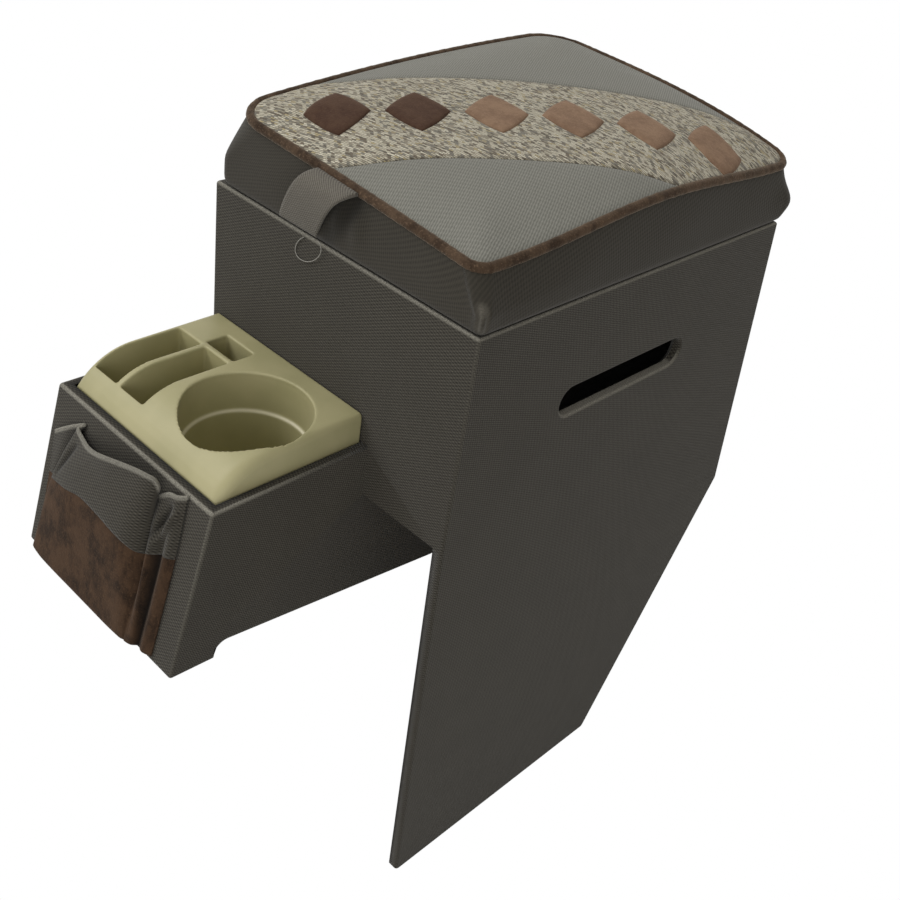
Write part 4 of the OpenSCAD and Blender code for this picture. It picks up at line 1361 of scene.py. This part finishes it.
LOOP_X, LOOP_Z, LOOP_W, LOOP_H, LOOP_SLANT = 96.6, 485.7, 12.5, 8.6, 5.2
thread_path = [(LOOP_X + LOOP_W * math.cos(a), -1.8 - 1.2 * math.sin(a / 2),
                LOOP_Z + LOOP_H * math.sin(a) + LOOP_SLANT * math.cos(a))
               for a in (math.radians(35 - 8 * k) for k in range(36))]
thread = tube("loose_thread", thread_path, 0.32, 6)
dress(thread, sewing, "lid", "webbing")
print("tab", len(tab.data.polygons), "thread", len(thread.data.polygons), "faces")

# %% [markdown]
# ## The studio
# The armrest stands on a pale floor under large soft lamps, one ahead and to the left, one from the
# right, and one above. The floor and the background are plain white to the camera, by colour and not
# by more light.

# %% Lamps
def lamp(name, place, aim, size, power):
    """A square soft lamp that faces a point."""
    light = bpy.data.lights.new(name, "AREA")
    light.shape, light.size, light.energy = "SQUARE", size, power
    made = placed(name, light)
    made.location = place
    made.rotation_euler = (Vector(aim) - Vector(place)).to_track_quat("-Z", "Y").to_euler()
    return made


lamps = [lamp("key", (-1.4, -1.3, 2.2), (0, 0, 0.35), 1.4, 28),
         lamp("top", (-0.3, 0.1, 2.3), (0, 0, 0.45), 1.2, 4),
         lamp("fill", (0.75, -1.3, 0.6), (0, -0.2, 0.2), 1.0, 4.5)]
print("lamps", len(lamps))

# %% Floor and background
def white_to_camera(tree, shown, unseen):
    """White where the camera, a gloss or a glass looks, and the plain shade for all other light."""
    path = tree.nodes.new("ShaderNodeLightPath")
    seen = path.outputs["Is Camera Ray"]
    for ray in ("Is Glossy Ray", "Is Transmission Ray"):
        either = tree.nodes.new("ShaderNodeMath")
        either.operation = "MAXIMUM"
        tree.links.new(seen, either.inputs[0])
        tree.links.new(path.outputs[ray], either.inputs[1])
        seen = either.outputs[0]
    mix = tree.nodes.new("ShaderNodeMixShader")
    for socket, wire in zip(mix.inputs, (seen, unseen, shown)):
        tree.links.new(wire, socket)
    return mix.outputs[0]


world = bpy.data.worlds.new("studio")
world.use_nodes = True
scene.world = world
tree = world.node_tree
plain, white = tree.nodes["Background"], tree.nodes.new("ShaderNodeBackground")
plain.inputs["Color"].default_value = (1.0, 0.96, 0.9, 1.0)
plain.inputs["Strength"].default_value = 0.44
white.inputs["Color"].default_value = (1, 1, 1, 1)
white.inputs["Strength"].default_value = 1.0
out = white_to_camera(tree, white.outputs[0], plain.outputs[0])
tree.links.new(out, tree.nodes["World Output"].inputs["Surface"])

FLOOR_HALF, FLOOR_Z = 3000, -0.2
floor = piece("floor", [(x * FLOOR_HALF, y * FLOOR_HALF, FLOOR_Z)
                        for x, y in ((-1, -1), (1, -1), (1, 1), (-1, 1))], [(0, 1, 2, 3)])
pale = bpy.data.materials.new("pale_floor")
pale.use_nodes = True
tree = pale.node_tree
diffuse, glow = tree.nodes.new("ShaderNodeBsdfDiffuse"), tree.nodes.new("ShaderNodeEmission")
diffuse.inputs["Color"].default_value = (0.75, 0.75, 0.75, 1)
glow.inputs["Color"].default_value = (1, 1, 1, 1)
out = white_to_camera(tree, glow.outputs[0], diffuse.outputs[0])
tree.links.new(out, tree.nodes["Material Output"].inputs["Surface"])
floor.data.materials.append(pale)

scene.view_settings.view_transform = "Standard"
print("floor and background", pale.name, world.name)
